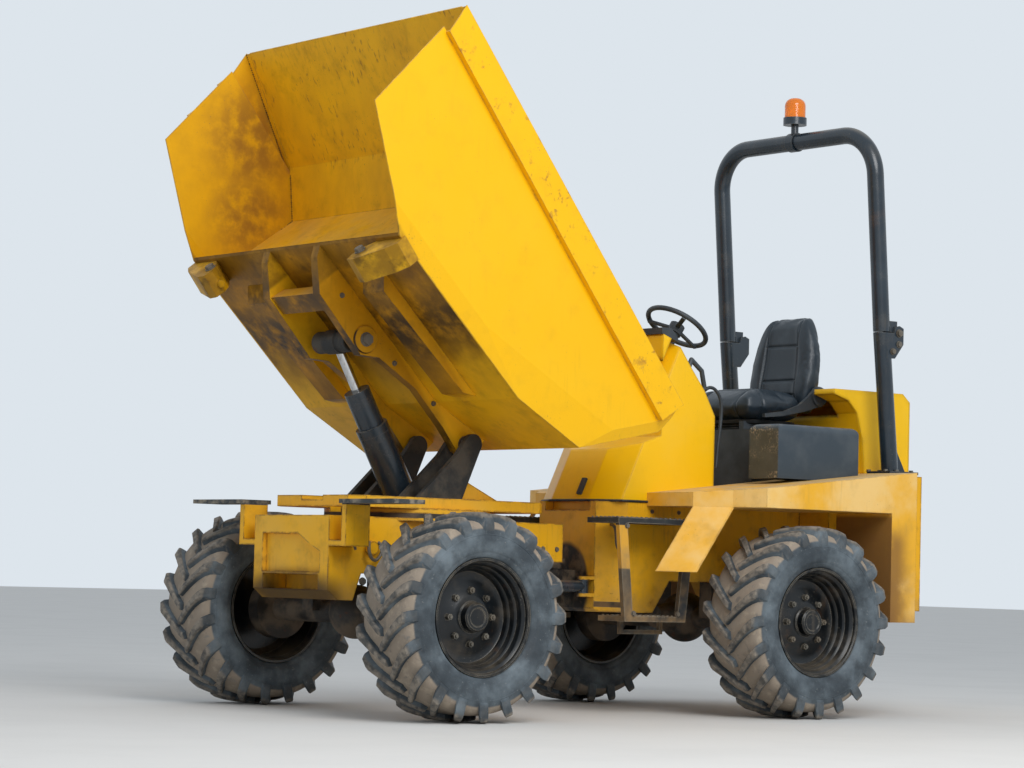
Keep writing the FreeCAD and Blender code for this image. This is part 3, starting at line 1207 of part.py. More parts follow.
def hoop_sections():
    """The roll-over hoop: two lower posts with their folding ears, and the folding upper hoop."""
    tube = HOOP_TUBE / 2
    x = HOOP_HALF_W
    foot_point = vec(x, HOOP_FOOT_Y, GUARD_REAR_Z)
    fold_point = vec(x, HOOP_FOLD_Y, HOOP_FOLD_Z)
    rise = fold_point.sub(foot_point)
    post_length = rise.Length * (1 + 2 * HOOP_POST_PAST)
    post = cylinder(foot_point.sub(rise * HOOP_POST_PAST), rise, HOOP_TUBE, post_length)
    post = post.common(box((0, 2 * x), (0, 2 * HOOP_FOOT_Y), (GUARD_REAR_Z, HOOP_FOLD_Z)))
    plate_top = GUARD_REAR_Z + HOOP_FOOT_T
    foot = box([x + out for out in HOOP_PLATE_X], [HOOP_FOOT_Y + back for back in HOOP_PLATE_Y],
               (GUARD_REAR_Z, plate_top))
    gusset_back, gusset_up = HOOP_GUSSET
    gusset = prism_x(((HOOP_FOOT_Y, GUARD_REAR_Z), (HOOP_FOOT_Y + gusset_back, plate_top),
                      (HOOP_FOOT_Y + tube - HOOP_GUSSET_LAP, GUARD_REAR_Z + gusset_up)),
                     x - HOOP_EAR_T / 2, x + HOOP_EAR_T / 2)
    pin_y = HOOP_FOLD_Y + HOOP_PIN_BACK
    ear_low = HOOP_FOLD_Z - HOOP_EAR_DROP
    ear_outline = [(HOOP_FOLD_Y, ear_low), (HOOP_FOLD_Y + HOOP_EAR_BACK, ear_low)]
    ear_outline += [(pin_y + back, HOOP_FOLD_Z + up) for back, up in HOOP_EAR_END]
    ear_outline.append((HOOP_FOLD_Y, HOOP_FOLD_Z))
    ears = [prism_x(ear_outline, start, start + HOOP_EAR_T) for start in (x - tube, x + tube - HOOP_EAR_T)]
    pin = cylinder(vec(x - tube, pin_y, HOOP_FOLD_Z), LEFT, HOOP_PIN_D, HOOP_TUBE)
    post = fused([post, foot, gusset] + ears + [pin])

    radius = HOOP_CORNER_R
    lean = math.atan2(HOOP_FOLD_Y - HOOP_TOP_Y, HOOP_TOP_Z - HOOP_FOLD_Z)
    top = HOOP_FOLD_Z + (HOOP_TOP_Z - HOOP_FOLD_Z) / math.cos(lean) - tube
    bend = radius * (1 - math.sqrt(0.5))
    start = vec(x, 0, HOOP_FOLD_Z - tube)
    side_end, across = vec(x, 0, top - radius), vec(x - radius, 0, top)
    bend_mid = vec(x - bend, 0, top - bend)
    half_path = [Part.makeLine(start, side_end), Part.Arc(side_end, bend_mid, across).toShape(),
                 Part.makeLine(across, vec(0, 0, top))]
    circle = Part.Wire([Part.makeCircle(tube, start, UP)])
    hoop = both_sides(Part.Wire(half_path).makePipeShell([circle], True, True))
    hoop.rotate(vec(0, 0, HOOP_FOLD_Z), LEFT, math.degrees(lean))
    hoop.translate(vec(0, HOOP_FOLD_Y, 0))
    z0 = HOOP_FOLD_Z + HOOP_JOINT_GAP
    hoop = hoop.cut(box((-2 * x, 2 * x), (HOOP_FOLD_Y - 2 * HOOP_TUBE, HOOP_FOLD_Y + 2 * HOOP_TUBE),
                        (GUARD_REAR_Z, z0)))
    half = tube - HOOP_EAR_T - HOOP_EYE_GAP
    for turn in (-1, 1):
        cx = turn * x
        block = box((cx - half, cx + half), (HOOP_FOLD_Y + tube / 2, pin_y), (z0, z0 + HOOP_EYE_ROOT))
        eye_start = vec(cx - half, pin_y, HOOP_FOLD_Z)
        eye = cylinder(eye_start, LEFT, HOOP_EYE_D, 2 * half)
        bore = cylinder(eye_start, LEFT, HOOP_PIN_D + 2 * BEARING_GAP, 2 * half)
        hoop = hoop.fuse(block.fuse(eye).cut(bore))
    return post, mirrored(post), hoop.removeSplitter()


def beacon():
    """The flashing beacon: a clamp and stem on the hoop's top bar, a base and a dome."""
    bar_y = HOOP_TOP_Y
    z = HOOP_TOP_Z
    tube = HOOP_TUBE / 2
    stem = cylinder(vec(0, bar_y, z - tube), UP, BEACON_STEM_D, tube + BEACON_STEM_H)
    clamp_start = vec(-BEACON_CLAMP_W / 2, bar_y, z - tube)
    clamp = ring(clamp_start, LEFT, HOOP_TUBE + 2 * BEACON_RIM, HOOP_TUBE, BEACON_CLAMP_W)
    base = cylinder(vec(0, bar_y, z + BEACON_STEM_H), UP, BEACON_D, BEACON_BASE_H)
    dome_z = z + BEACON_STEM_H + BEACON_BASE_H
    lens = cylinder(vec(0, bar_y, dome_z), UP, BEACON_D - 2 * BEACON_RIM, BEACON_DOME_H)
    lens = lens.makeFillet(BEACON_DOME_R, edges_above(lens, dome_z + BEACON_DOME_R))
    return fused([stem, clamp, base]), lens


def steps(side):
    """Two treads hung between tapered uprights below the driver's door way."""
    front, rear, rail = STEP_FRONT_Y, STEP_REAR_Y, STEP_RAIL_W
    uprights = []
    for outline in (((front, STEP_TOP_Z), (front + rail, STEP_TOP_Z),
                     (front + rail + STEP_TAPER, STEP_LOW_Z), (front + STEP_TAPER, STEP_LOW_Z)),
                    ((rear - rail, STEP_TOP_Z), (rear, STEP_TOP_Z),
                     (rear - STEP_TAPER, STEP_LOW_Z), (rear - rail - STEP_TAPER, STEP_LOW_Z))):
        uprights.append(prism_x(outline, STEP_OUTER_X - STEP_T, STEP_OUTER_X))
    top = box((STEP_INNER_X, STEP_OUTER_X), (front, rear), (STEP_TOP_Z - STEP_T, STEP_TOP_Z))
    low = box((STEP_INNER_X + STEP_LOW_INSET, STEP_OUTER_X), (front + STEP_TAPER, rear - STEP_TAPER),
              (STEP_LOW_Z, STEP_LOW_Z + STEP_T))
    brace = box((STEP_INNER_X, STEP_OUTER_X), (front + STEP_TAPER, front + STEP_TAPER + STEP_T),
                (REAR_SKIRT_Z + STEP_T, REAR_SKIRT_Z + 2 * STEP_T))
    x = (STEP_INNER_X + STEP_OUTER_X) / 2
    y0, y1 = STIRRUP_Y
    stirrup = box((x, x + STIRRUP_T), (y0, y1), (STEP_LOW_Z - STIRRUP_DROP, STEP_LOW_Z))
    stirrup = stirrup.cut(box((x, x + STIRRUP_T), (y0 + STIRRUP_T, y1 - STIRRUP_T),
                              (STEP_LOW_Z - STIRRUP_DROP + STIRRUP_T, STEP_LOW_Z)))
    part = fused(uprights + [top, low, brace, stirrup])
    return part if side > 0 else mirrored(part)


def hitch():
    """A towing jaw on the rear end with its drop pin."""
    y0, y1 = REAR_END_Y, REAR_END_Y + HITCH_LENGTH
    plates = []
    wide = (-HITCH_W / 2, HITCH_W / 2)
    for z in (HITCH_Z - HITCH_JAW / 2 - HITCH_PLATE_T, HITCH_Z + HITCH_JAW / 2):
        plates.append(box(wide, (y0, y1), (z, z + HITCH_PLATE_T)))
    back = box(wide, (y0, y0 + HITCH_PLATE_T), (HITCH_Z - HITCH_JAW / 2, HITCH_Z + HITCH_JAW / 2))
    jaw = fused(plates + [back])
    bore = cylinder(vec(0, y1 - HITCH_PIN_INSET, HITCH_Z - HITCH_W), UP, HITCH_PIN_D, 2 * HITCH_W)
    return jaw.cut(bore)


def steering_ram():
    """The steering ram below the pivot's left side: barrel on the rear nose, rod on the tail."""
    x, z = STEER_RAM_X, STEER_RAM_Z
    back = vec(x, STEER_RAM_REAR_Y, z)
    front = vec(x, STEER_RAM_FRONT_Y, z)
    length = STEER_RAM_REAR_Y - STEER_RAM_FRONT_Y
    fork = STEER_FORK_GAP / 2 - BEARING_GAP
    barrel = cylinder(back, AHEAD, STEER_RAM_D, STEER_BARREL_LENGTH)
    eye = cylinder(back.sub(UP * fork), UP, STEER_EYE_D, 2 * fork)
    pin_bore = cylinder(back.sub(UP * fork), UP, STEER_PIN_D + 2 * BEARING_GAP, 2 * fork)
    barrel = barrel.fuse(eye).cut(pin_bore)
    bore_start = back.add(AHEAD * (STEER_EYE_D / 2 + RUN_GAP))
    barrel = barrel.cut(cylinder(bore_start, AHEAD, STEER_ROD_D + 2 * BEARING_GAP, length))
    rod = cylinder(front, AHEAD.negative(), STEER_ROD_D, STEER_ROD_LENGTH)
    knuckle = cylinder(front.sub(UP * fork), UP, STEER_KNUCKLE_D, 2 * fork)
    return barrel.removeSplitter(), rod.fuse(knuckle).removeSplitter()


def steering_fork(y, root_y, top_z):
    """Two ears that hold one end of the steering ram, joined to their chassis at root_y."""
    half = STEER_FORK_GAP / 2
    x = STEER_RAM_X
    ears = []
    y0, y1 = sorted((y, root_y))
    for z in (STEER_RAM_Z - half - STEER_EAR_T, STEER_RAM_Z + half):
        ears.append(cylinder(vec(x, y, z), UP, STEER_EYE_D, STEER_EAR_T))
        ears.append(box((x - STEER_EYE_D / 2, x + STEER_EYE_D / 2), (y0, y1), (z, z + STEER_EAR_T)))
    low = STEER_RAM_Z - half - STEER_EAR_T
    reach = STEER_EAR_T if root_y > y else -STEER_EAR_T
    y0, y1 = sorted((root_y, root_y + reach))
    ears.append(box((x - STEER_EYE_D / 2, x + STEER_EYE_D / 2), (y0, y1), (low, top_z)))
    return fused(ears)


def grab_handle():
    """The looped handle on the console's sloping face."""
    x = CONSOLE_HALF_W - HANDLE_INSET
    points = [vec(x, CONSOLE_REAR_Y - ahead, CONSOLE_TOP_Z - below) for ahead, below in HANDLE_PATH]
    bars = []
    for start, end in zip(points, points[1:]):
        bars.append(cylinder(start, end.sub(start), HANDLE_D, end.sub(start).Length))
        bars.append(Part.makeSphere(HANDLE_D / 2, end))
    return fused(bars).cut(console())


def build():
    """Every piece by name, in the machine's own frame."""
    nodes = {}
    rear_fork = steering_fork(STEER_RAM_REAR_Y, REAR_NOSE_Y, STEER_RAM_Z + STEER_FORK_GAP)
    rear_pin_z = STEER_RAM_Z - STEER_FORK_GAP / 2
    rear_pin = cylinder(vec(STEER_RAM_X, STEER_RAM_REAR_Y, rear_pin_z), UP, STEER_PIN_D, STEER_FORK_GAP)
    lugs = bonnet_lugs()
    nodes["rear_frame"] = fused([rear_frame(), pivot_tongue(), rear_fork, rear_pin, lugs, mirrored(lugs)])
    nodes["rear_axle"] = axle(REAR_AXLE_Y, -1, REAR_BELLY_Z)
    nodes["console"] = console()
    nodes["dash"] = fused([dash(), column(), grab_handle()])
    nodes["steering_wheel"] = steering_wheel()
    nodes["seat_base"] = fused([seat_box(), seat_rails()])
    nodes["seat_cushion"] = cushion()
    nodes["seat_back"] = backrest()
    nodes["engine"] = fused([engine()] + engine_mounts() + [mirrored(foot) for foot in engine_mounts()])
    nodes["bonnet"] = bonnet()
    nodes["hitch"] = hitch()
    nodes["hoop_post_left"], nodes["hoop_post_right"], hoop = hoop_sections()
    beacon_base, nodes["beacon_lens"] = beacon()
    nodes["hoop"] = hoop.fuse(beacon_base)
    front_fork = steering_fork(STEER_RAM_FRONT_Y, STEER_RAM_FRONT_Y - STEER_FORK_ROOT, FRONT_TAIL_BELLY_Z)
    nodes["front_frame"] = fused([front_frame(), pivot_fork(), front_fork, wing(1), wing(-1)])
    nodes["front_axle"] = axle(FRONT_AXLE_Y, 1, FRONT_BELLY_Z)
    nodes["slew_ring"] = lower_ring()
    nodes["platform"] = fused([platform_frame(), ram_foot()])
    nodes["tip_hinges"] = hinge_brackets()
    side_left, nodes["skip_floor"], nodes["skip_rear"] = skip_panels()
    side_left = fused([side_left, rim_channel(0.0)]).cut(rim_channel(SKIP_WALL))
    side_left = fused([side_left, mouth_arm()])
    nodes["skip_side_left"] = side_left
    nodes["skip_side_right"] = fused([mirrored(side_left)] + cheek_hooks())
    nodes["skip_apron"] = skip_apron()
    nodes["skip_subframe"] = fused([both_sides(skip_beam()), mouth_box()])
    nodes["skip_floor"] = nodes["skip_floor"].fuse(both_sides(floor_channel())).removeSplitter()
    for name in [key for key in nodes if key.startswith("skip_")]:
        nodes[name] = raised(nodes[name])
    nodes["ram_barrel"], nodes["ram_stage"], nodes["ram_rod"] = ram_parts()
    nodes["steer_barrel"], nodes["steer_rod"] = steering_ram()
    for name, side in (("left", 1), ("right", -1)):
        nodes["guard_" + name] = guard(side)
        nodes["cabinet_" + name] = tool_box(side)
        nodes["steps_" + name] = steps(side)
    tyre_left, rim_left = tyre(), rim()
    for end, y in (("front", FRONT_AXLE_Y), ("rear", REAR_AXLE_Y)):
        for name, side in (("left", 1), ("right", -1)):
            place = vec(side * TRACK / 2, y, TYRE_D / 2)
            for kind, shape in (("tyre", tyre_left), ("rim", rim_left)):
                piece = shape.copy() if side > 0 else mirrored(shape)
                piece.translate(place)
                nodes["_".join((kind, end, name))] = piece
    return nodes


def main():
    """Build every piece, set the origin under the middle of the whole, and write the STEP files."""
    nodes = build()
    whole = Part.makeCompound(list(nodes.values())).BoundBox
    shift = vec(-(whole.XMin + whole.XMax) / 2, -(whole.YMin + whole.YMax) / 2, -whole.ZMin)
    os.makedirs("parts", exist_ok=True)
    for name, shape in nodes.items():
        shape.translate(shift)
        shape.exportStep("parts/" + name + ".step")
    print("origin moved by", [round(value, 3) for value in shift])
    print("box", round(whole.XLength, 1), round(whole.YLength, 1), round(whole.ZLength, 1))


main()
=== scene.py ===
import json
import logging
import math
from collections.abc import Callable, Sequence
from dataclasses import dataclass
from enum import Enum

import bmesh
import bpy
from mathutils import Matrix, Vector


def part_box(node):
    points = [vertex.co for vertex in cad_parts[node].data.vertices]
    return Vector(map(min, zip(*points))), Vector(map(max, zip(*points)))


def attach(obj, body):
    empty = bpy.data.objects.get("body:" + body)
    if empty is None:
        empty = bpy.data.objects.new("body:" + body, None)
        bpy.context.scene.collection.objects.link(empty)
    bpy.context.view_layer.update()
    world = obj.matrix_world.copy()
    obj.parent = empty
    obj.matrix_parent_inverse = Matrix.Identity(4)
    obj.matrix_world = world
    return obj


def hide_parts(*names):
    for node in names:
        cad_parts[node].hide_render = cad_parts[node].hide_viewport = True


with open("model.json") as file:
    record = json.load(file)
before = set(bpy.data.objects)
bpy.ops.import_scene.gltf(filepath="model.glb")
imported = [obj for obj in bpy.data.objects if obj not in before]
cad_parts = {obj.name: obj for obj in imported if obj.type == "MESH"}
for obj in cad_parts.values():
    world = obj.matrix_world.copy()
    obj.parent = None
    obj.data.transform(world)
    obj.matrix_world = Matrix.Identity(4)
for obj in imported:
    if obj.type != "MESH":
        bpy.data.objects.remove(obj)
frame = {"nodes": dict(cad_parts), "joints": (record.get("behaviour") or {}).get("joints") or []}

# Looks of a site dumper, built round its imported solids. Metres; +Z up, -Y ahead, +X the operator's left.
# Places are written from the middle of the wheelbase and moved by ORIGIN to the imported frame.

log = logging.getLogger("site_dumper")
logging.basicConfig(level=logging.INFO, format="%(name)s: %(message)s")

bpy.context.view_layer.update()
JOINTS = {joint["name"]: joint for joint in frame["joints"]}
WHEEL_CENTRE = Vector((0.94, -1.17, 0.535))
ORIGIN = Vector(JOINTS["wheel_front_left_spin"]["pos_m"]) - WHEEL_CENTRE
TIP_PIN = Vector(JOINTS["tip"]["pos_m"])
SKIP_RAISE = math.radians(52.0)
SKIP_AHEAD = Vector((0, -math.cos(SKIP_RAISE), math.sin(SKIP_RAISE)))
SKIP_ABOVE = Vector((0, math.sin(SKIP_RAISE), math.cos(SKIP_RAISE)))

Point = tuple[float, float, float]
Value = float | Sequence[float] | bpy.types.NodeSocket


class Body(str, Enum):
    """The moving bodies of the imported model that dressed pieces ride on."""

    REAR = "rear_chassis"
    FRONT = "front_chassis"
    DECK = "platform"
    SKIP = "skip"
    BARREL = "ram_barrel"
    STAGE = "ram_stage"
    ROD = "ram_rod"
    BONNET = "bonnet"
    HOOP = "hoop"
    STEERING_WHEEL = "steering_wheel"


class Slot(str, Enum):
    """The record's material slots."""

    YELLOW = "yellow"
    OLD_YELLOW = "old_yellow"
    BLACK = "black_paint"
    GREY = "grey_paint"
    IRON = "axle_iron"
    CHROME = "chrome"
    TYRE = "tyre"
    VINYL = "vinyl"
    PLASTIC = "black_plastic"
    AMBER = "amber"


def at(x: float, y: float, z: float) -> Vector:
    """Move a point from the wheelbase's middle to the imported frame."""
    return Vector((x, y, z)) + ORIGIN


def on_skip(x: float, ahead: float, above: float) -> Vector:
    """Place a point given from the tip pin, ahead and above with the rim level, on the raised skip."""
    return TIP_PIN + Vector((x, 0, 0)) + SKIP_AHEAD * ahead + SKIP_ABOVE * above


def linear(code: str) -> tuple[float, float, float, float]:
    """Turn an sRGB hex colour to linear values.

    Args:
        code: The colour as "#RRGGBB".

    Returns:
        Red, green, blue and an alpha of 1.
    """
    parts = [int(code[i:i + 2], 16) / 255 for i in (1, 3, 5)]
    return tuple(c / 12.92 if c <= 0.04045 else ((c + 0.055) / 1.055) ** 2.4 for c in parts) + (1.0,)


def add_node(tree: bpy.types.NodeTree, kind: str, inputs: dict[str | int, object] | None = None,
             **settings: object) -> bpy.types.Node:
    """Add a node with its settings, input values and links.

    Args:
        tree: The tree that takes the node.
        kind: The node's type name.
        inputs: Values by socket name or index; a socket is linked.
        settings: The node's own properties.

    Returns:
        The new node.
    """
    node = tree.nodes.new(kind)
    for key, value in settings.items():
        setattr(node, key, value)
    for key, value in (inputs or {}).items():
        if isinstance(value, bpy.types.NodeSocket):
            tree.links.new(value, node.inputs[key])
        else:
            node.inputs[key].default_value = value
    return node


class Surface:
    """A material laid up in coats: a base colour that stains, dust and wear cover in turn."""

    def __init__(self, name: str, base: str, roughness: float, metallic: float = 0.0) -> None:
        """Start the material from its base coat."""
        self.material = bpy.data.materials.new(name)
        self.material.use_nodes = True
        self.tree = self.material.node_tree
        self.shader = next(node for node in self.tree.nodes if node.type == "BSDF_PRINCIPLED")
        self.shader.inputs["Metallic"].default_value = metallic
        self.place = add_node(self.tree, "ShaderNodeTexCoord")
        self.colour: Value = linear(base)
        self.roughness: Value = roughness
        self.normal: bpy.types.NodeSocket | None = None

    def patches(self, size_mm: float, low: float, high: float, stretch: Point = (1, 1, 1), seed: float = 0.0,
                detail: float = 5.0) -> bpy.types.NodeSocket:
        """Soft patches of a real size.

        Args:
            size_mm: Size of a patch.
            low: Noise level where a patch starts.
            high: Noise level where it is full.
            stretch: Scale on each axis; a small number draws the patches out along it.
            seed: Picks another pattern.
            detail: Octaves of finer noise.

        Returns:
            A mask from 0 to 1.
        """
        where = add_node(self.tree, "ShaderNodeMapping", {"Vector": self.place.outputs["Object"], "Scale": stretch})
        field = add_node(self.tree, "ShaderNodeTexNoise",
                         {"Vector": where.outputs[0], "W": seed, "Scale": 1000 / size_mm, "Detail": detail,
                          "Roughness": 0.6}, noise_dimensions="4D")
        return self.between(field.outputs[0], low, high)

    def between(self, value: bpy.types.NodeSocket, low: float, high: float) -> bpy.types.NodeSocket:
        """A mask that rises from 0 to 1 as a value goes from low to high."""
        return add_node(self.tree, "ShaderNodeMapRange", {"Value": value, "From Min": low, "From Max": high},
                        interpolation_type="SMOOTHSTEP").outputs[0]

    def along(self, direction: Sequence[float], start: Sequence[float], low: float, high: float) -> bpy.types.NodeSocket:
        """A mask that rises along a direction, between two distances from a start point."""
        offset = add_node(self.tree, "ShaderNodeVectorMath", {0: self.place.outputs["Object"], 1: tuple(start)},
                          operation="SUBTRACT")
        reach = add_node(self.tree, "ShaderNodeVectorMath", {0: offset.outputs[0], 1: tuple(direction)},
                         operation="DOT_PRODUCT")
        return self.between(reach.outputs["Value"], low, high)

    def facing(self, direction: Sequence[float], low: float, high: float) -> bpy.types.NodeSocket:
        """A mask for faces that look along a direction of the piece itself."""
        turn = add_node(self.tree, "ShaderNodeVectorMath", {0: self.place.outputs["Normal"], 1: tuple(direction)},
                        operation="DOT_PRODUCT")
        return self.between(turn.outputs["Value"], low, high)

    def edges(self, radius_mm: float) -> bpy.types.NodeSocket:
        """A mask for a strip along sharp edges."""
        rounded = add_node(self.tree, "ShaderNodeBevel", {"Radius": radius_mm / 1000}, samples=4)
        flat = add_node(self.tree, "ShaderNodeNewGeometry")
        turn = add_node(self.tree, "ShaderNodeVectorMath", {0: rounded.outputs[0], 1: flat.outputs["Normal"]},
                        operation="DOT_PRODUCT")
        return self.between(turn.outputs["Value"], 0.985, 0.90)

    def near(self, centre: Sequence[float], reach: float, fade: float, axis: Point = (1, 1, 1)) -> bpy.types.NodeSocket:
        """A mask round a point.

        Args:
            centre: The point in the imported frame.
            reach: Distance that it covers fully.
            fade: Width of its soft border.
            axis: Weight of each axis; 0 makes the mask a rod along that axis.

        Returns:
            A mask from 0 to 1.
        """
        offset = add_node(self.tree, "ShaderNodeVectorMath", {0: self.place.outputs["Object"], 1: tuple(centre)},
                          operation="SUBTRACT")
        weighed = add_node(self.tree, "ShaderNodeVectorMath", {0: offset.outputs[0], 1: axis}, operation="MULTIPLY")
        length = add_node(self.tree, "ShaderNodeVectorMath", {0: weighed.outputs[0]}, operation="LENGTH")
        return self.between(length.outputs["Value"], reach + fade, reach)

    def both(self, *masks: bpy.types.NodeSocket | float) -> bpy.types.NodeSocket:
        """Where all the masks hold."""
        whole = masks[0]
        for mask in masks[1:]:
            whole = add_node(self.tree, "ShaderNodeMath", {0: whole, 1: mask}, operation="MULTIPLY").outputs[0]
        return whole

    def either(self, *masks: bpy.types.NodeSocket) -> bpy.types.NodeSocket:
        """Where any of the masks holds."""
        whole = masks[0]
        for mask in masks[1:]:
            whole = add_node(self.tree, "ShaderNodeMath", {0: whole, 1: mask}, operation="MAXIMUM").outputs[0]
        return whole

    def round_corners(self, radius_mm: float) -> "Surface":
        """Shade sharp corners as if they were pressed to a radius."""
        self.normal = add_node(self.tree, "ShaderNodeBevel", {"Radius": radius_mm / 1000}, samples=6).outputs[0]
        return self

    def cover(self, colour: str, mask: bpy.types.NodeSocket, roughness: float | None = None) -> "Surface":
        """Lay a coat over what is there.

        Args:
            colour: The coat's hex colour.
            mask: Where it lies.
            roughness: The coat's own roughness, if it differs.

        Returns:
            The surface itself.
        """
        mix = add_node(self.tree, "ShaderNodeMix", {0: mask, 6: self.colour, 7: linear(colour)}, data_type="RGBA")
        self.colour = mix.outputs[2]
        if roughness is not None:
            sheen = add_node(self.tree, "ShaderNodeMix", {0: mask, 2: self.roughness, 3: roughness}, data_type="FLOAT")
            self.roughness = sheen.outputs[0]
        return self

    def relief(self, height: bpy.types.NodeSocket, depth_mm: float) -> "Surface":
        """Raise the surface by a height field."""
        inputs: dict[str | int, object] = {"Height": height, "Strength": 1.0, "Distance": depth_mm / 1000}
        if self.normal is not None:
            inputs["Normal"] = self.normal
        self.normal = add_node(self.tree, "ShaderNodeBump", inputs).outputs[0]
        return self

    def done(self, **values: float) -> bpy.types.Material:
        """Join the coats to the shader and set its constant values."""
        for key, value in (("Base Color", self.colour), ("Roughness", self.roughness), ("Normal", self.normal)):
            if isinstance(value, bpy.types.NodeSocket):
                self.tree.links.new(value, self.shader.inputs[key])
            elif value is not None:
                self.shader.inputs[key].default_value = value
        for key, value in values.items():
            self.shader.inputs[key.replace("_", " ")].default_value = value
        return self.material


@dataclass(frozen=True)
class Enamel:
    """Brushed or sprayed gloss enamel on steel plate: chips at its edges, dust, streaks and rust."""

    name: str
    paint: str
    faded_and_sheen: str
    grime: str
    bare: str
    fade: float = 0.4
    dirt: float = 0.3
    rust: float = 0.1
    wear: float = 0.6
    dust_top: float = 0.5
    splash_z: float = 0.0
    roughness: float = 0.38
    corner_mm: float = 0.0
    gloss: float = 0.28
    edge_mm: float = 9.0
    seed: float = 0.0

    def under_dirt(self, coat: Surface) -> None:
        """Lay what a machine part has of its own under the shared dirt; plain paint has nothing."""

    def over_dirt(self, coat: Surface) -> None:
        """Lay what a machine part has of its own over the shared dirt; plain paint has nothing."""

    def build(self) -> bpy.types.Material:
        """Lay up the paint, from the coat outwards."""
        coat = Surface(self.name, self.paint, self.roughness)
        if self.corner_mm > 0:
            coat.round_corners(self.corner_mm)
        # Areas bleached by the sun, a forearm wide, make the colour uneven without an edge; on the black paint this
        # colour is a bluer grey that is partly painted sky reflection.
        coat.cover(self.faded_and_sheen, coat.both(coat.patches(420, 0.40, 0.68, seed=self.seed), self.fade))
        self.under_dirt(coat)
        # Rain streaks run down the plates, some 25 mm wide.
        streaks = coat.patches(26, 0.50, 0.74, stretch=(1, 1, 0.08), seed=self.seed + 1)
        coat.cover(self.grime, coat.both(streaks, coat.patches(300, 0.45, 0.62, seed=self.seed + 2), self.dirt), 0.6)
        # Smeared dirt in hand-sized patches whose borders fade out.
        coat.cover(self.grime, coat.both(coat.patches(130, 0.48, 0.78, seed=self.seed + 3), self.dirt), 0.7)
        # Dust that settles on what faces up.
        settled_dust = coat.both(coat.facing((0, 0, 1), 0.55, 0.95), coat.patches(160, 0.30, 0.62, seed=self.seed + 4))
        coat.cover("#B9A68A", coat.both(settled_dust, self.dust_top), 0.85)
        if self.splash_z > 0:
            # Dried mud thrown up from the ground, thicker further down.
            low = coat.along((0, 0, -1), (0, 0, 0), -self.splash_z, -self.splash_z + 0.55)
            coat.cover("#A5855A", coat.both(low, coat.patches(160, 0.34, 0.66, seed=self.seed + 5, detail=8), 0.8), 0.9)
        # Stone chips a few millimetres wide, drawn at 7 mm so that they show.
        chips = coat.patches(10, 0.66, 0.70, seed=self.seed + 6, detail=2)
        coat.cover(self.bare, coat.both(chips, coat.patches(260, 0.50, 0.60, seed=self.seed + 7), self.wear), 0.7)
        # Rust spots with a brown halo round them.
        rust = coat.patches(150, 0.60, 0.74, seed=self.seed + 8, detail=10)
        coat.cover("#9A6324", coat.both(rust, self.rust), 0.8)
        coat.cover("#5E3216", coat.both(coat.patches(150, 0.70, 0.76, seed=self.seed + 8, detail=10), self.rust), 0.9)
        # Paint rubbed off along edges, down to brown primer and steel.
        coat.cover(self.bare, coat.both(coat.edges(self.edge_mm), coat.patches(60, 0.36, 0.56, seed=self.seed + 9), self.wear), 0.6)
        self.over_dirt(coat)
        coat.relief(coat.patches(5, 0.2, 0.8, seed=self.seed + 10, detail=2), 0.15)
        return coat.done(Coat_Weight=0.06, Coat_Roughness=0.3, Specular_IOR_Level=self.gloss)


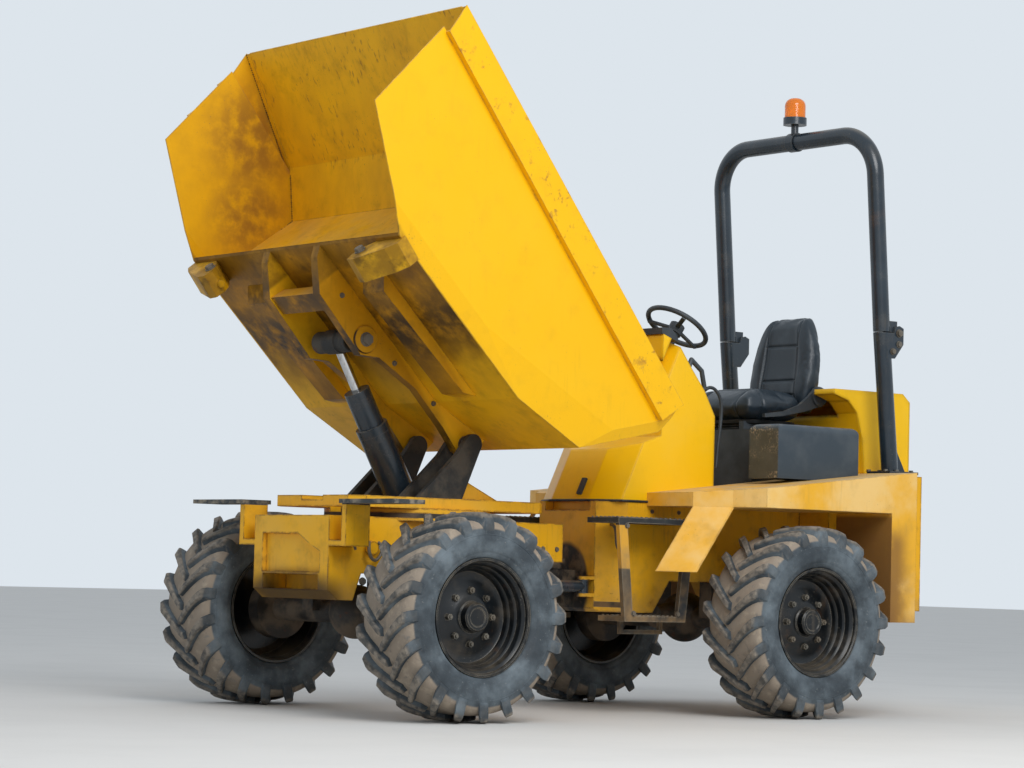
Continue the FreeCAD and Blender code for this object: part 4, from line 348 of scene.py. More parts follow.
@dataclass(frozen=True)
class SkipEnamel(Enamel):
    """Skip paint: scoured by the load inside, scraped along the rim and greasy round the pins below; the under parts'
    copy is darker as painted shade, with painted light on the inside and painted shade on faces that look down.
    """

    dulled_and_lit: str = "#E3A80C"
    scoured: str = "#B98512"
    grease: str = "#2B1D0B"
    below: str = "#7A530C"
    below_share: float = 0.0

    def under_dirt(self, coat: Surface) -> None:
        """Dull the inside; on the under parts this paints the inside lighter instead, as painted light."""
        toward_middle = coat.either(
            coat.both(coat.facing((1, 0, 0), 0.3, 0.6), coat.along((-1, 0, 0), (0, 0, 0), 0.0, 0.1)),
            coat.both(coat.facing((-1, 0, 0), 0.3, 0.6), coat.along((1, 0, 0), (0, 0, 0), 0.0, 0.1)))
        inside = coat.either(toward_middle, coat.facing(SKIP_ABOVE, 0.35, 0.6))
        if self.below_share > 0:
            # The apron stands back between the side walls, so its front is rubbed by the load as it slides out; this
            # mask takes in all of the under parts above a plane just under the tip pins, which so take the lighter
            # inside colour, a painted light.
            inside = coat.either(inside, coat.along(SKIP_ABOVE, TIP_PIN, -0.09, -0.05))
        # Dragged loads leave long soft marks towards the mouth, here some 90 mm wide.
        dragged = coat.patches(150, 0.34, 0.74, stretch=(1, 0.5, 0.5), seed=self.seed + 20, detail=5)
        # On the under parts this inside colour is lighter than their paint: painted light.
        coat.cover(self.dulled_and_lit, coat.both(inside, 0.8), 0.5)
        coat.cover(self.scoured, coat.both(inside, dragged, 0.55), 0.6)
        # Worn through to brown in the middle of each side wall.
        for side in (1, -1):
            patch = coat.either(coat.near(on_skip(side * 0.98, 1.72, 0.58), 0.10, 0.34),
                                coat.near(on_skip(side * 0.98, 1.38, 0.30), 0.05, 0.36))
            torn = coat.patches(110, 0.30, 0.62, seed=self.seed + 21, detail=10)
            coat.cover("#94651F", coat.both(toward_middle, patch, torn, 0.85), 0.75)
        # The rim band is scraped by the loading shovel in short rusty strokes.
        band = coat.along(SKIP_ABOVE, TIP_PIN, 0.655, 0.68)
        strokes = coat.patches(22, 0.55, 0.66, stretch=(1, 0.4, 0.4), seed=self.seed + 22, detail=8)
        zones = coat.patches(230, 0.44, 0.58, seed=self.seed + 23)
        coat.cover("#A8742C", coat.both(band, strokes, zones, 0.8), 0.7)

    def over_dirt(self, coat: Surface) -> None:
        """Darken the underside: on the under parts, painted shade with grime on faces that look down, and grease, most
        of all round the ram's eye and the tip pins.
        """
        arms = coat.both(coat.along(SKIP_AHEAD, TIP_PIN, 1.215, 1.235), coat.along(-SKIP_ABOVE, TIP_PIN, 0.13, 0.15))
        coat.cover("#8E6510", coat.both(arms, coat.patches(120, 0.20, 0.60, seed=self.seed + 27, detail=7), 0.85), 0.6)
        coat.cover(self.grease, coat.both(arms, coat.patches(70, 0.50, 0.70, seed=self.seed + 28), 0.6), 0.6)
        if self.below_share <= 0:
            return
        # Faces that look down turn brown and darker: painted shade, with grime and grease runs.
        down = coat.both(coat.facing(-SKIP_ABOVE, -0.12, 0.35), coat.along(-SKIP_ABOVE, TIP_PIN, 0.02, 0.07))
        shade = coat.patches(420, 0.28, 0.70, seed=self.seed + 24, detail=5)
        coat.cover(self.below, coat.both(down, shade, self.below_share), 0.6)
        runs = coat.patches(160, 0.46, 0.76, stretch=(1, 0.4, 0.4), seed=self.seed + 25, detail=8)
        coat.cover(self.grease, coat.both(down, runs, self.below_share * 0.55), 0.5)
        for centre, reach, fade in ((on_skip(0, 0.83, -0.215), 0.06, 0.30), (on_skip(0, 0.0, 0.0), 0.04, 0.30),
                                    (on_skip(0, 1.16, -0.24), 0.02, 0.16)):
            ring = coat.near(centre, reach, fade, axis=(0, 1, 1))
            black = coat.patches(80, 0.28, 0.60, seed=self.seed + 26, detail=7)
            coat.cover(self.grease, coat.both(down, ring, black, 0.95), 0.4)


@dataclass(frozen=True)
class ChassisEnamel(Enamel):
    """Chassis paint: black grip plates over the front tyres and an oily black pivot."""

    def over_dirt(self, coat: Surface) -> None:
        """Blacken the wings and the pivot and darken the recess in the nose."""
        wing = coat.both(coat.along((0, 0, 1), (0, 0, 0), 1.094, 1.096), coat.along((0, -1, 0), (0, 0, 0), 1.70, 1.71),
                         coat.either(coat.along((1, 0, 0), (0, 0, 0), 0.452, 0.455),
                                     coat.along((-1, 0, 0), (0, 0, 0), 0.452, 0.455)))
        coat.cover("#3A3E40", coat.both(wing, 1.0), 0.6)
        coat.cover("#8A8172", coat.both(wing, coat.patches(60, 0.44, 0.62, seed=self.seed + 20)), 0.9)
        pivot = coat.near((0, -0.24, 0.70), 0.24, 0.03, axis=(1.1, 1, 0.9))
        coat.cover("#2A2826", pivot, 0.6)
        coat.cover("#6F6252", coat.both(pivot, coat.patches(90, 0.42, 0.60, seed=self.seed + 21, detail=8)), 0.9)
        # The recess in the nose is painted dark brown round a point low in it.
        nose = coat.both(coat.near((0, -2.0, 0.60), 0.10, 0.10, axis=(0.3, 1, 1)), coat.along((0, 1, 0), (0, -1.999, 0), 0.0, 0.01))
        coat.cover("#3A2A16", coat.both(nose, 0.9), 0.8)


@dataclass(frozen=True)
class ArchEnamel(Enamel):
    """Mudguard paint: bleached above, brown with road dirt under the ledge."""

    def over_dirt(self, coat: Surface) -> None:
        """Coat what the tyre throws at."""
        inward = coat.either(coat.near((0, 0.789, 0.535), 0.62, 0.10, axis=(0, 1, 1)), coat.facing((0, 0, -1), 0.4, 0.8))
        below = coat.along((0, 0, -1), (0, 0, 0), -1.16, -1.13)
        coat.cover("#86613A", coat.both(inward, below, coat.patches(190, 0.25, 0.60, seed=self.seed + 20, detail=8), 0.9),
                   0.9)
        tail = coat.both(coat.along((0, 1, 0), (0, 1.30, 0), 0.0, 0.10), below, coat.facing((0, -1, 0), 0.4, 0.8))
        coat.cover("#7E572E", coat.both(tail, 0.85), 0.9)
        # The outer plate behind the tyre is sprayed brown along its front edge.
        spray = coat.both(coat.along((0, -1, 0), (0, 1.60, 0), 0.0, 0.14), coat.along((0, 1, 0), (0, 1.30, 0), 0.0, 0.10),
                          coat.along((0, 0, -1), (0, 0, 0), -1.12, -0.98),
                          coat.patches(170, 0.20, 0.52, seed=self.seed + 22, detail=8), 0.85)
        coat.cover("#8A6232", spray, 0.85)


@dataclass(frozen=True)
class StepEnamel(Enamel):
    """Step frames: black treads, their uprights painted with the skirt above knee height."""

    def under_dirt(self, coat: Surface) -> None:
        """Carry the skirt's yellow down the upper half of the uprights."""
        upper = coat.both(coat.along((0, 0, 1), (0, 0, 0), 0.80, 0.81), coat.along((0, 0, -1), (0, 0, 0), -1.045, -1.04))
        coat.cover("#D9A238", upper, 0.5)


@dataclass(frozen=True)
class Rubber:
    """Moulded tyre rubber: blue-grey bloom on the flanks, partly painted sky sheen, clay between the bars and smeared
    over them.
    """

    name: str = "tyre_rubber"
    flank: str = "#373F45"
    bloom_and_sheen: str = "#7F8B92"
    bars: str = "#504F4C"
    clay: str = "#978A7B"

    def build(self) -> bpy.types.Material:
        """Lay clay where the piece's own rise attribute says the surface is low."""
        coat = Surface(self.name, self.flank, 0.6)
        rise = add_node(coat.tree, "ShaderNodeAttribute", attribute_name="rise").outputs["Fac"]
        bars = coat.between(rise, 0.75, 1.0)
        # A blue-grey bloom in broad soft patches over the rubber, partly painted sky sheen, with fine specks.
        coat.cover(self.bloom_and_sheen, coat.both(coat.patches(190, 0.36, 0.74, seed=3.0), 0.7), 0.7)
        coat.cover("#8B8E8D", coat.both(coat.patches(13, 0.62, 0.72, seed=4.0, detail=3), 0.5), 0.9)
        coat.cover("#262C31", coat.both(coat.patches(120, 0.52, 0.70, seed=8.0, detail=6), 0.6), 0.5)
        coat.cover(self.bars, bars, 0.75)
        # Clay packed between the bars, ragged where it climbs their sides.
        ragged = add_node(coat.tree, "ShaderNodeMath", {0: coat.patches(45, 0.30, 0.62, seed=5.0, detail=8), 1: 0.6},
                          operation="ADD", use_clamp=True)
        coat.cover(self.clay, coat.both(coat.between(rise, 0.45, 0.12), ragged.outputs[0]), 0.95)
        coat.cover("#B2A38F", coat.both(coat.between(rise, 0.45, 0.12), coat.patches(60, 0.50, 0.66, seed=9.0, detail=6),
                                        0.6), 0.95)
        # Smears of the same clay over the bars' tops, broken up finely.
        coat.cover("#948A7D", coat.both(bars, coat.patches(38, 0.34, 0.64, seed=6.0, detail=9), 0.85), 0.95)
        coat.relief(coat.patches(7, 0.2, 0.8, seed=7.0, detail=4), 0.9)
        return coat.done(Specular_IOR_Level=0.4)


@dataclass(frozen=True)
class Leatherette:
    """Embossed PVC seat cover: black, painted blue-grey as a cool sheen, with a fine grain and rubbed dust."""

    name: str = "seat_vinyl"
    # The blue-grey of the black cover is painted sky sheen.
    colour: str = "#1F2A33"

    def build(self) -> bpy.types.Material:
        """Grain cells some 2 mm wide, drawn at 4 mm so that they show."""
        coat = Surface(self.name, self.colour, 0.36)
        coat.cover("#46525B", coat.both(coat.patches(120, 0.50, 0.74, seed=2.0, detail=6), 0.35), 0.5)
        grain = add_node(coat.tree, "ShaderNodeTexVoronoi", {"Vector": coat.place.outputs["Object"], "Scale": 250.0})
        coat.relief(grain.outputs["Distance"], 0.5)
        return coat.done()


@dataclass(frozen=True)
class Moulding:
    """Moulded black plastic: fine spark-eroded texture, greyed by dust."""

    name: str
    colour: str = "#2B3136"
    dust: str = "#8A7A63"
    dusting: float = 0.35
    dirty_front: float = 0.0
    roughness: float = 0.5

    def build(self) -> bpy.types.Material:
        """A grain of 3 mm and dust on top; a dirty front face where the boots go."""
        coat = Surface(self.name, self.colour, self.roughness)
        coat.cover("#50575C", coat.both(coat.patches(200, 0.40, 0.68, seed=1.0), 0.5))
        coat.cover(self.dust, coat.both(coat.facing((0, 0, 1), 0.5, 0.95), coat.patches(90, 0.42, 0.66, seed=2.0),
                                        self.dusting), 0.85)
        if self.dirty_front > 0:
            specks = coat.patches(12, 0.48, 0.60, seed=3.0, detail=6)
            coat.cover(self.dust, coat.both(coat.facing((0, -1, 0), 0.5, 0.9), specks,
                                            coat.patches(150, 0.44, 0.62, seed=5.0), self.dirty_front), 0.9)
        coat.relief(coat.patches(3, 0.2, 0.8, seed=4.0, detail=3), 0.25)
        return coat.done()


@dataclass(frozen=True)
class Iron:
    """Cast iron and grubby steel under the machine: oil-dark, with clay in broad smears."""

    name: str
    colour: str = "#35322F"
    clay: str = "#7F6E5A"
    clay_share: float = 0.55
    roughness: float = 0.65

    def build(self) -> bpy.types.Material:
        """Casting skin of 4 mm grain under clay and grease."""
        coat = Surface(self.name, self.colour, self.roughness, metallic=0.25)
        coat.cover("#15130F", coat.both(coat.patches(130, 0.48, 0.62, seed=1.0, detail=6), 0.6), 0.35)
        coat.cover(self.clay, coat.both(coat.patches(170, 0.44, 0.62, seed=2.0, detail=9), self.clay_share), 0.95)
        coat.cover("#6B3A1A", coat.both(coat.patches(60, 0.60, 0.70, seed=3.0, detail=7), 0.4), 0.9)
        coat.relief(coat.patches(5, 0.2, 0.8, seed=4.0, detail=5), 0.7)
        return coat.done()


@dataclass(frozen=True)
class HardChrome:
    """Ground hard chrome on a ram's rod: a bright mirror with faint lengthwise wipes of oil."""

    name: str
    eye: Point
    eye_reach: float

    def build(self) -> bpy.types.Material:
        """Bright metal, duller where oil has dried, with its eye in black grease."""
        coat = Surface(self.name, "#C9CBCC", 0.12, metallic=1.0)
        coat.cover("#8F8478", coat.both(coat.patches(20, 0.48, 0.66, stretch=(1, 1, 0.15), seed=1.0), 0.6), 0.35)
        coat.cover("#1D1C1B", coat.near(self.eye, self.eye_reach, 0.004, axis=(0, 1, 1)), 0.5)
        return coat.done()


@dataclass(frozen=True)
class LampLens:
    """Orange acrylic beacon dome: clear, deep in colour, glossy."""

    name: str = "amber_acrylic"
    colour: str = "#FF8A12"

    def build(self) -> bpy.types.Material:
        """Coloured plastic that lets some light through, dusty in patches."""
        coat = Surface(self.name, self.colour, 0.12)
        coat.cover("#F2A25A", coat.both(coat.patches(40, 0.5, 0.7, seed=1.0), 0.3), 0.4)
        return coat.done(IOR=1.49, Transmission_Weight=0.35)


RAM_EYE = on_skip(0, 0.830, -0.215)
YELLOW = SkipEnamel("skip_enamel", "#F6BA00", "#F3BE14", "#B0801E", "#8B6A48", fade=0.35, dirt=0.14, rust=0.10,
                    wear=0.7, dust_top=0.12, seed=1.0)
# The under parts of the skip take a darker copy of its yellow as painted shade, with a lighter inside colour as painted
# light.
UNDER_YELLOW = SkipEnamel("skip_under_enamel", "#D9980A", "#C08A12", "#7A5616", "#6B4E2C", fade=0.7, dirt=0.35, rust=0.3,
                          wear=0.7, dust_top=0.25, roughness=0.5, below_share=0.85,
                          dulled_and_lit="#FFC414", scoured="#D49C1C", seed=81.0)
CAB_YELLOW = Enamel("panel_enamel", "#FBC40A", "#F8CA40", "#B58A34", "#7A5B3A", fade=0.35, dirt=0.12, rust=0.04,
                    wear=0.35, dust_top=0.15, corner_mm=28, seed=21.0)
CHASSIS_YELLOW = ChassisEnamel("chassis_enamel", "#EFB110", "#E9B440", "#8F6528", "#5A3D26", fade=0.6, dirt=0.5, rust=0.5,
                               wear=0.95, dust_top=0.6, splash_z=0.95, roughness=0.5, edge_mm=16, seed=41.0)
LEDGE_YELLOW = ArchEnamel("ledge_enamel", "#EDB02C", "#F0CC88", "#A07C44", "#77583A", fade=0.75, dirt=0.3, rust=0.2,
                          wear=0.6, dust_top=0.6, splash_z=0.95, roughness=0.52, seed=61.0)
# The black paint's blue tint and its bluer patches are partly painted sky reflection.
BLACK = Enamel("black_enamel", "#1B2731", "#2C3B47", "#6D6353", "#8A8478", fade=0.5, dirt=0.16, rust=0.08,
               wear=0.3, dust_top=0.25, roughness=0.24, gloss=0.6, seed=101.0)
STEP_BLACK = StepEnamel("step_enamel", "#2B2E30", "#3D4042", "#77705F", "#8C8474", fade=0.6, dirt=0.5, rust=0.25,
                        wear=0.9, dust_top=0.7, splash_z=1.0, roughness=0.6, seed=121.0)
# The wheel paint is near black, darkened partly as painted shade in the deep dish.
WHEEL_GREY = Enamel("wheel_enamel", "#0C1013", "#1B2329", "#6E6252", "#8F8676", fade=0.4, dirt=0.34, rust=0.12,
                    wear=0.6, dust_top=0.2, roughness=0.28, gloss=0.4, seed=141.0)


class Finishes:
    """Every material of the machine, built once and shared."""

    def __init__(self) -> None:
        """Build the finishes."""
        self.yellow = YELLOW.build()
        self.panel = CAB_YELLOW.build()
        self.chassis = CHASSIS_YELLOW.build()
        self.ledge = LEDGE_YELLOW.build()
        self.under = UNDER_YELLOW.build()
        self.black = BLACK.build()
        self.step = STEP_BLACK.build()
        self.wheel = WHEEL_GREY.build()
        self.rubber = Rubber().build()
        self.vinyl = Leatherette().build()
        self.plastic = Moulding("black_moulding").build()
        # The cabinet's blue-grey is partly painted sky sheen on black plastic.
        self.cabinet = Moulding("cabinet_moulding", colour="#303C46", dust="#A39680", dusting=0.25, dirty_front=0.95,
                                roughness=0.36).build()
        self.iron = Iron("axle_iron").build()
        self.casting = Iron("hinge_casting", colour="#2C2D2D", clay="#6E6558", clay_share=0.45).build()
        self.weld = Iron("weld_scale", colour="#5F431E", clay="#94702F", clay_share=0.6).build()
        self.zinc = Iron("zinc_bolts", colour="#6F6A60", clay="#7F6E5A", clay_share=0.35, roughness=0.45).build()
        self.hose = Moulding("hose_rubber", colour="#1B1D1E", dusting=0.2, roughness=0.6).build()
        self.chrome = HardChrome("ram_chrome", tuple(RAM_EYE), 0.062).build()
        self.steer_chrome = HardChrome("steering_chrome", tuple(at(0.22, -0.28, 0.70)), 0.035).build()
        self.amber = LampLens().build()


NODE_FINISHES: tuple[tuple[str, str], ...] = (
    # node name's start, finish
    ("skip_side", "yellow"), ("skip_", "under"), ("console", "panel"), ("bonnet", "panel"), ("guard", "ledge"),
    ("rear_frame", "chassis"), ("front_frame", "chassis"), ("platform", "chassis"), ("tip_hinges", "casting"),
    ("steps", "step"), ("cabinet", "cabinet"), ("hoop", "black"), ("ram_rod", "chrome"), ("ram_", "black"),
    ("steer_rod", "steer_chrome"), ("steer_barrel", "black"), ("dash", "plastic"), ("steering_wheel", "plastic"),
    ("seat_base", "plastic"), ("seat_", "vinyl"), ("beacon_lens", "amber"), ("rim", "wheel"), ("tyre", "rubber"),
    ("front_axle", "iron"), ("rear_axle", "iron"), ("slew_ring", "iron"), ("engine", "iron"), ("hitch", "iron"),
)


def finish_nodes(finishes: Finishes) -> None:
    """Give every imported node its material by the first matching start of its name."""
    for name, node in frame["nodes"].items():
        finish = next(finish for start, finish in NODE_FINISHES if name.startswith(start))
        node.data.materials.clear()
        node.data.materials.append(getattr(finishes, finish))


def mesh_piece(name: str, vertices: Sequence[Sequence[float]], faces: Sequence[Sequence[int]],
               material: bpy.types.Material, smooth: float = 35.0) -> bpy.types.Object:
    """Make a mesh object whose faces point outwards.

    Args:
        name: The piece's name.
        vertices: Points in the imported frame.
        faces: Corner numbers of each face.
        material: Its finish.
        smooth: Angle in degrees under which neighbouring faces shade as one.

    Returns:
        The linked object at the origin.
    """
    mesh = bpy.data.meshes.new(name)
    mesh.from_pydata([tuple(v) for v in vertices], [], [tuple(f) for f in faces])
    form = bmesh.new()
    form.from_mesh(mesh)
    bmesh.ops.remove_doubles(form, verts=form.verts, dist=1e-6)
    bmesh.ops.recalc_face_normals(form, faces=form.faces)
    form.to_mesh(mesh)
    form.free()
    mesh.materials.append(material)
    mesh.shade_smooth()
    mesh.set_sharp_from_angle(angle=math.radians(smooth))
    piece = bpy.data.objects.new(name, mesh)
    bpy.context.scene.collection.objects.link(piece)
    return piece


def settled(piece: bpy.types.Object) -> bpy.types.Object:
    """Turn a piece with modifiers, or a curve, into a plain mesh object of the same name."""
    graph = bpy.context.evaluated_depsgraph_get()
    mesh = bpy.data.meshes.new_from_object(piece.evaluated_get(graph), depsgraph=graph)
    name = piece.name
    if piece.type == "MESH":
        piece.modifiers.clear()
        piece.data = mesh
        return piece
    bpy.data.objects.remove(piece)
    plain = bpy.data.objects.new(name, mesh)
    bpy.context.scene.collection.objects.link(plain)
    return plain


def fit(piece: bpy.types.Object, body: Body | str, slot: Slot, *replaced: str) -> bpy.types.Object:
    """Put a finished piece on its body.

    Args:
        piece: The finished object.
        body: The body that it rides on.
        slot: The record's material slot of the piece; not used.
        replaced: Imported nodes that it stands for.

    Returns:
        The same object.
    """
    name = body.value if isinstance(body, Body) else body
    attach(piece, name)
    if replaced:
        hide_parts(*replaced)
    log.info("%s rides on %s", piece.name, name)
    return piece


def turned(profile: Sequence[tuple[float, float]], sides: int) -> tuple[list[Vector], list[list[int]]]:
    """Turn a closed profile of (x, radius) points about the X axis.

    Args:
        profile: The profile's corners in order.
        sides: Number of steps round the axis.

    Returns:
        Vertices and faces of a closed form.
    """
    vertices, faces = [], []
    count = len(profile)
    for step in range(sides):
        angle = 2 * math.pi * step / sides
        for x, radius in profile:
            vertices.append(Vector((x, -radius * math.sin(angle), -radius * math.cos(angle))))
    for step in range(sides):
        after = (step + 1) % sides
        for index in range(count):
            nxt = (index + 1) % count
            faces.append([step * count + index, step * count + nxt, after * count + nxt, after * count + index])
    return vertices, faces


def swept(name: str, points: Sequence[Vector], diameter: float, material: bpy.types.Material) -> bpy.types.Object:
    """Make a round bar or hose along a smooth line.

    Args:
        name: The piece's name.
        points: Control points of its line.
        diameter: Its thickness.
        material: Its finish.

    Returns:
        A curve object with round ends closed.
    """
    curve = bpy.data.curves.new(name, "CURVE")
    curve.dimensions = "3D"
    curve.bevel_depth = diameter / 2
    curve.bevel_resolution = 3
    curve.resolution_u = 8
    curve.use_fill_caps = True
    line = curve.splines.new("NURBS")
    line.points.add(len(points) - 1)
    for place, point in zip(line.points, points):
        place.co = (*point, 1.0)
    line.order_u = 3
    line.use_endpoint_u = True
    curve.materials.append(material)
    piece = bpy.data.objects.new(name, curve)
    bpy.context.scene.collection.objects.link(piece)
    return piece


def outline_of(points: Sequence[tuple[float, float]]) -> list[tuple[float, float]]:
    """Find the corners of the band stretched round a flat set of points, in order."""
    ordered = sorted({(round(x, 5), round(y, 5)) for x, y in points})
    halves = []
    for row in (ordered, ordered[::-1]):
        half: list[tuple[float, float]] = []
        for point in row:
            while len(half) > 1 and ((half[-1][0] - half[-2][0]) * (point[1] - half[-2][1])
                                     <= (half[-1][1] - half[-2][1]) * (point[0] - half[-2][0])):
                half.pop()
            half.append(point)
        halves.append(half[:-1])
    return halves[0] + halves[1]


class Tree:
    """A geometry node tree under construction, with named inputs."""

    def __init__(self, name: str, inputs: Sequence[tuple[str, str]]) -> None:
        """Make the tree with a geometry in and out and the named inputs."""
        self.group = bpy.data.node_groups.new(name, "GeometryNodeTree")
        self.group.interface.new_socket("Geometry", in_out="INPUT", socket_type="NodeSocketGeometry")
        self.names = {label: self.group.interface.new_socket(label, in_out="INPUT", socket_type=kind).identifier
                      for label, kind in inputs}
        self.group.interface.new_socket("Geometry", in_out="OUTPUT", socket_type="NodeSocketGeometry")
        self.start = add_node(self.group, "NodeGroupInput")

    def close(self, geometry: bpy.types.NodeSocket) -> "Tree":
        """End the tree in real geometry with its material."""
        real = add_node(self.group, "GeometryNodeRealizeInstances", {"Geometry": geometry})
        dressed = add_node(self.group, "GeometryNodeSetMaterial",
                           {"Geometry": real.outputs[0], "Material": self.start.outputs["Material"]})
        add_node(self.group, "NodeGroupOutput", {0: dressed.outputs[0]})
        return self

    def run(self, piece: bpy.types.Object, **values: object) -> bpy.types.Object:
        """Run the tree on a piece with the given inputs and keep the result as a plain mesh."""
        modifier = piece.modifiers.new("repeat", "NODES")
        modifier.node_group = self.group
        for label, value in values.items():
            modifier[self.names[label.replace("_", " ")]] = value
        return settled(piece)


def ring_tree() -> Tree:
    """A tree that repeats a piece round the X axis: tyre bars and wheel nuts."""
    tree = Tree("round_the_axle", (("Count", "NodeSocketInt"), ("Material", "NodeSocketMaterial")))
    count = tree.start.outputs["Count"]
    points = add_node(tree.group, "GeometryNodeMeshLine", {"Count": count, "Offset": (0, 0, 0)})
    index = add_node(tree.group, "GeometryNodeInputIndex")
    share = add_node(tree.group, "ShaderNodeMath", {0: index.outputs[0], 1: count}, operation="DIVIDE")
    angle = add_node(tree.group, "ShaderNodeMath", {0: share.outputs[0], 1: 2 * math.pi}, operation="MULTIPLY")
    turn = add_node(tree.group, "ShaderNodeCombineXYZ", {"X": angle.outputs[0]})
    euler = add_node(tree.group, "FunctionNodeEulerToRotation", {0: turn.outputs[0]})
    copies = add_node(tree.group, "GeometryNodeInstanceOnPoints",
                      {"Points": points.outputs[0], "Instance": tree.start.outputs["Geometry"],
                       "Rotation": euler.outputs[0]})
    return tree.close(copies.outputs[0])


def bolt_tree() -> Tree:
    """A tree that sets a hexagon head on a washer at each point, along the point's own axis."""
    tree = Tree("bolt_heads", (("Material", "NodeSocketMaterial"),))
    washer = add_node(tree.group, "GeometryNodeMeshCylinder", {"Vertices": 14, "Radius": 0.62, "Depth": 0.16})
    head = add_node(tree.group, "GeometryNodeMeshCylinder", {"Vertices": 6, "Radius": 0.5, "Depth": 0.36})
    raised = add_node(tree.group, "GeometryNodeTransform", {"Geometry": head.outputs[0], "Translation": (0, 0, 0.24)})
    bolt = add_node(tree.group, "GeometryNodeJoinGeometry")
    tree.group.links.new(washer.outputs[0], bolt.inputs[0])
    tree.group.links.new(raised.outputs[0], bolt.inputs[0])
    axis = add_node(tree.group, "GeometryNodeInputNamedAttribute", {"Name": "axis"}, data_type="FLOAT_VECTOR")
    size = add_node(tree.group, "GeometryNodeInputNamedAttribute", {"Name": "size"}, data_type="FLOAT")
    turn = add_node(tree.group, "FunctionNodeAlignRotationToVector", {"Vector": axis.outputs[0]}, axis="Z")
    copies = add_node(tree.group, "GeometryNodeInstanceOnPoints",
                      {"Points": tree.start.outputs["Geometry"], "Instance": bolt.outputs[0],
                       "Rotation": turn.outputs[0], "Scale": size.outputs[0]})
    return tree.close(copies.outputs[0])


def bead_tree() -> Tree:
    """A tree that lays a weld bead of overlapping ripples along a line of edges."""
    tree = Tree("weld_bead", (("Width", "NodeSocketFloat"), ("Material", "NodeSocketMaterial")))
    width = tree.start.outputs["Width"]
    line = add_node(tree.group, "GeometryNodeMeshToCurve", {"Mesh": tree.start.outputs["Geometry"]})
    pitch = add_node(tree.group, "ShaderNodeMath", {0: width, 1: 0.9}, operation="MULTIPLY")
    points = add_node(tree.group, "GeometryNodeResampleCurve", {"Curve": line.outputs[0], "Length": pitch.outputs[0]},
                      mode="LENGTH")
    ripple = add_node(tree.group, "GeometryNodeMeshIcoSphere", {"Radius": 0.5, "Subdivisions": 1})
    jitter = add_node(tree.group, "FunctionNodeRandomValue", {2: 0.8, 3: 1.15, "Seed": 7}, data_type="FLOAT")
    scale = add_node(tree.group, "ShaderNodeMath", {0: width, 1: jitter.outputs[1]}, operation="MULTIPLY")
    copies = add_node(tree.group, "GeometryNodeInstanceOnPoints",
                      {"Points": points.outputs[0], "Instance": ripple.outputs[0], "Scale": scale.outputs[0]})
    return tree.close(copies.outputs[0])


def stud_tree() -> Tree:
    """A tree that sets low grip studs on every point of a tread's grid."""
    tree = Tree("grip_studs", (("Width", "NodeSocketFloat"), ("Material", "NodeSocketMaterial")))
    stud = add_node(tree.group, "GeometryNodeMeshCone", {"Vertices": 6, "Radius Top": 0.3, "Radius Bottom": 0.5,
                                                         "Depth": 0.45})
    copies = add_node(tree.group, "GeometryNodeInstanceOnPoints",
                      {"Points": tree.start.outputs["Geometry"], "Instance": stud.outputs[0],
                       "Scale": tree.start.outputs["Width"]})
    return tree.close(copies.outputs[0])


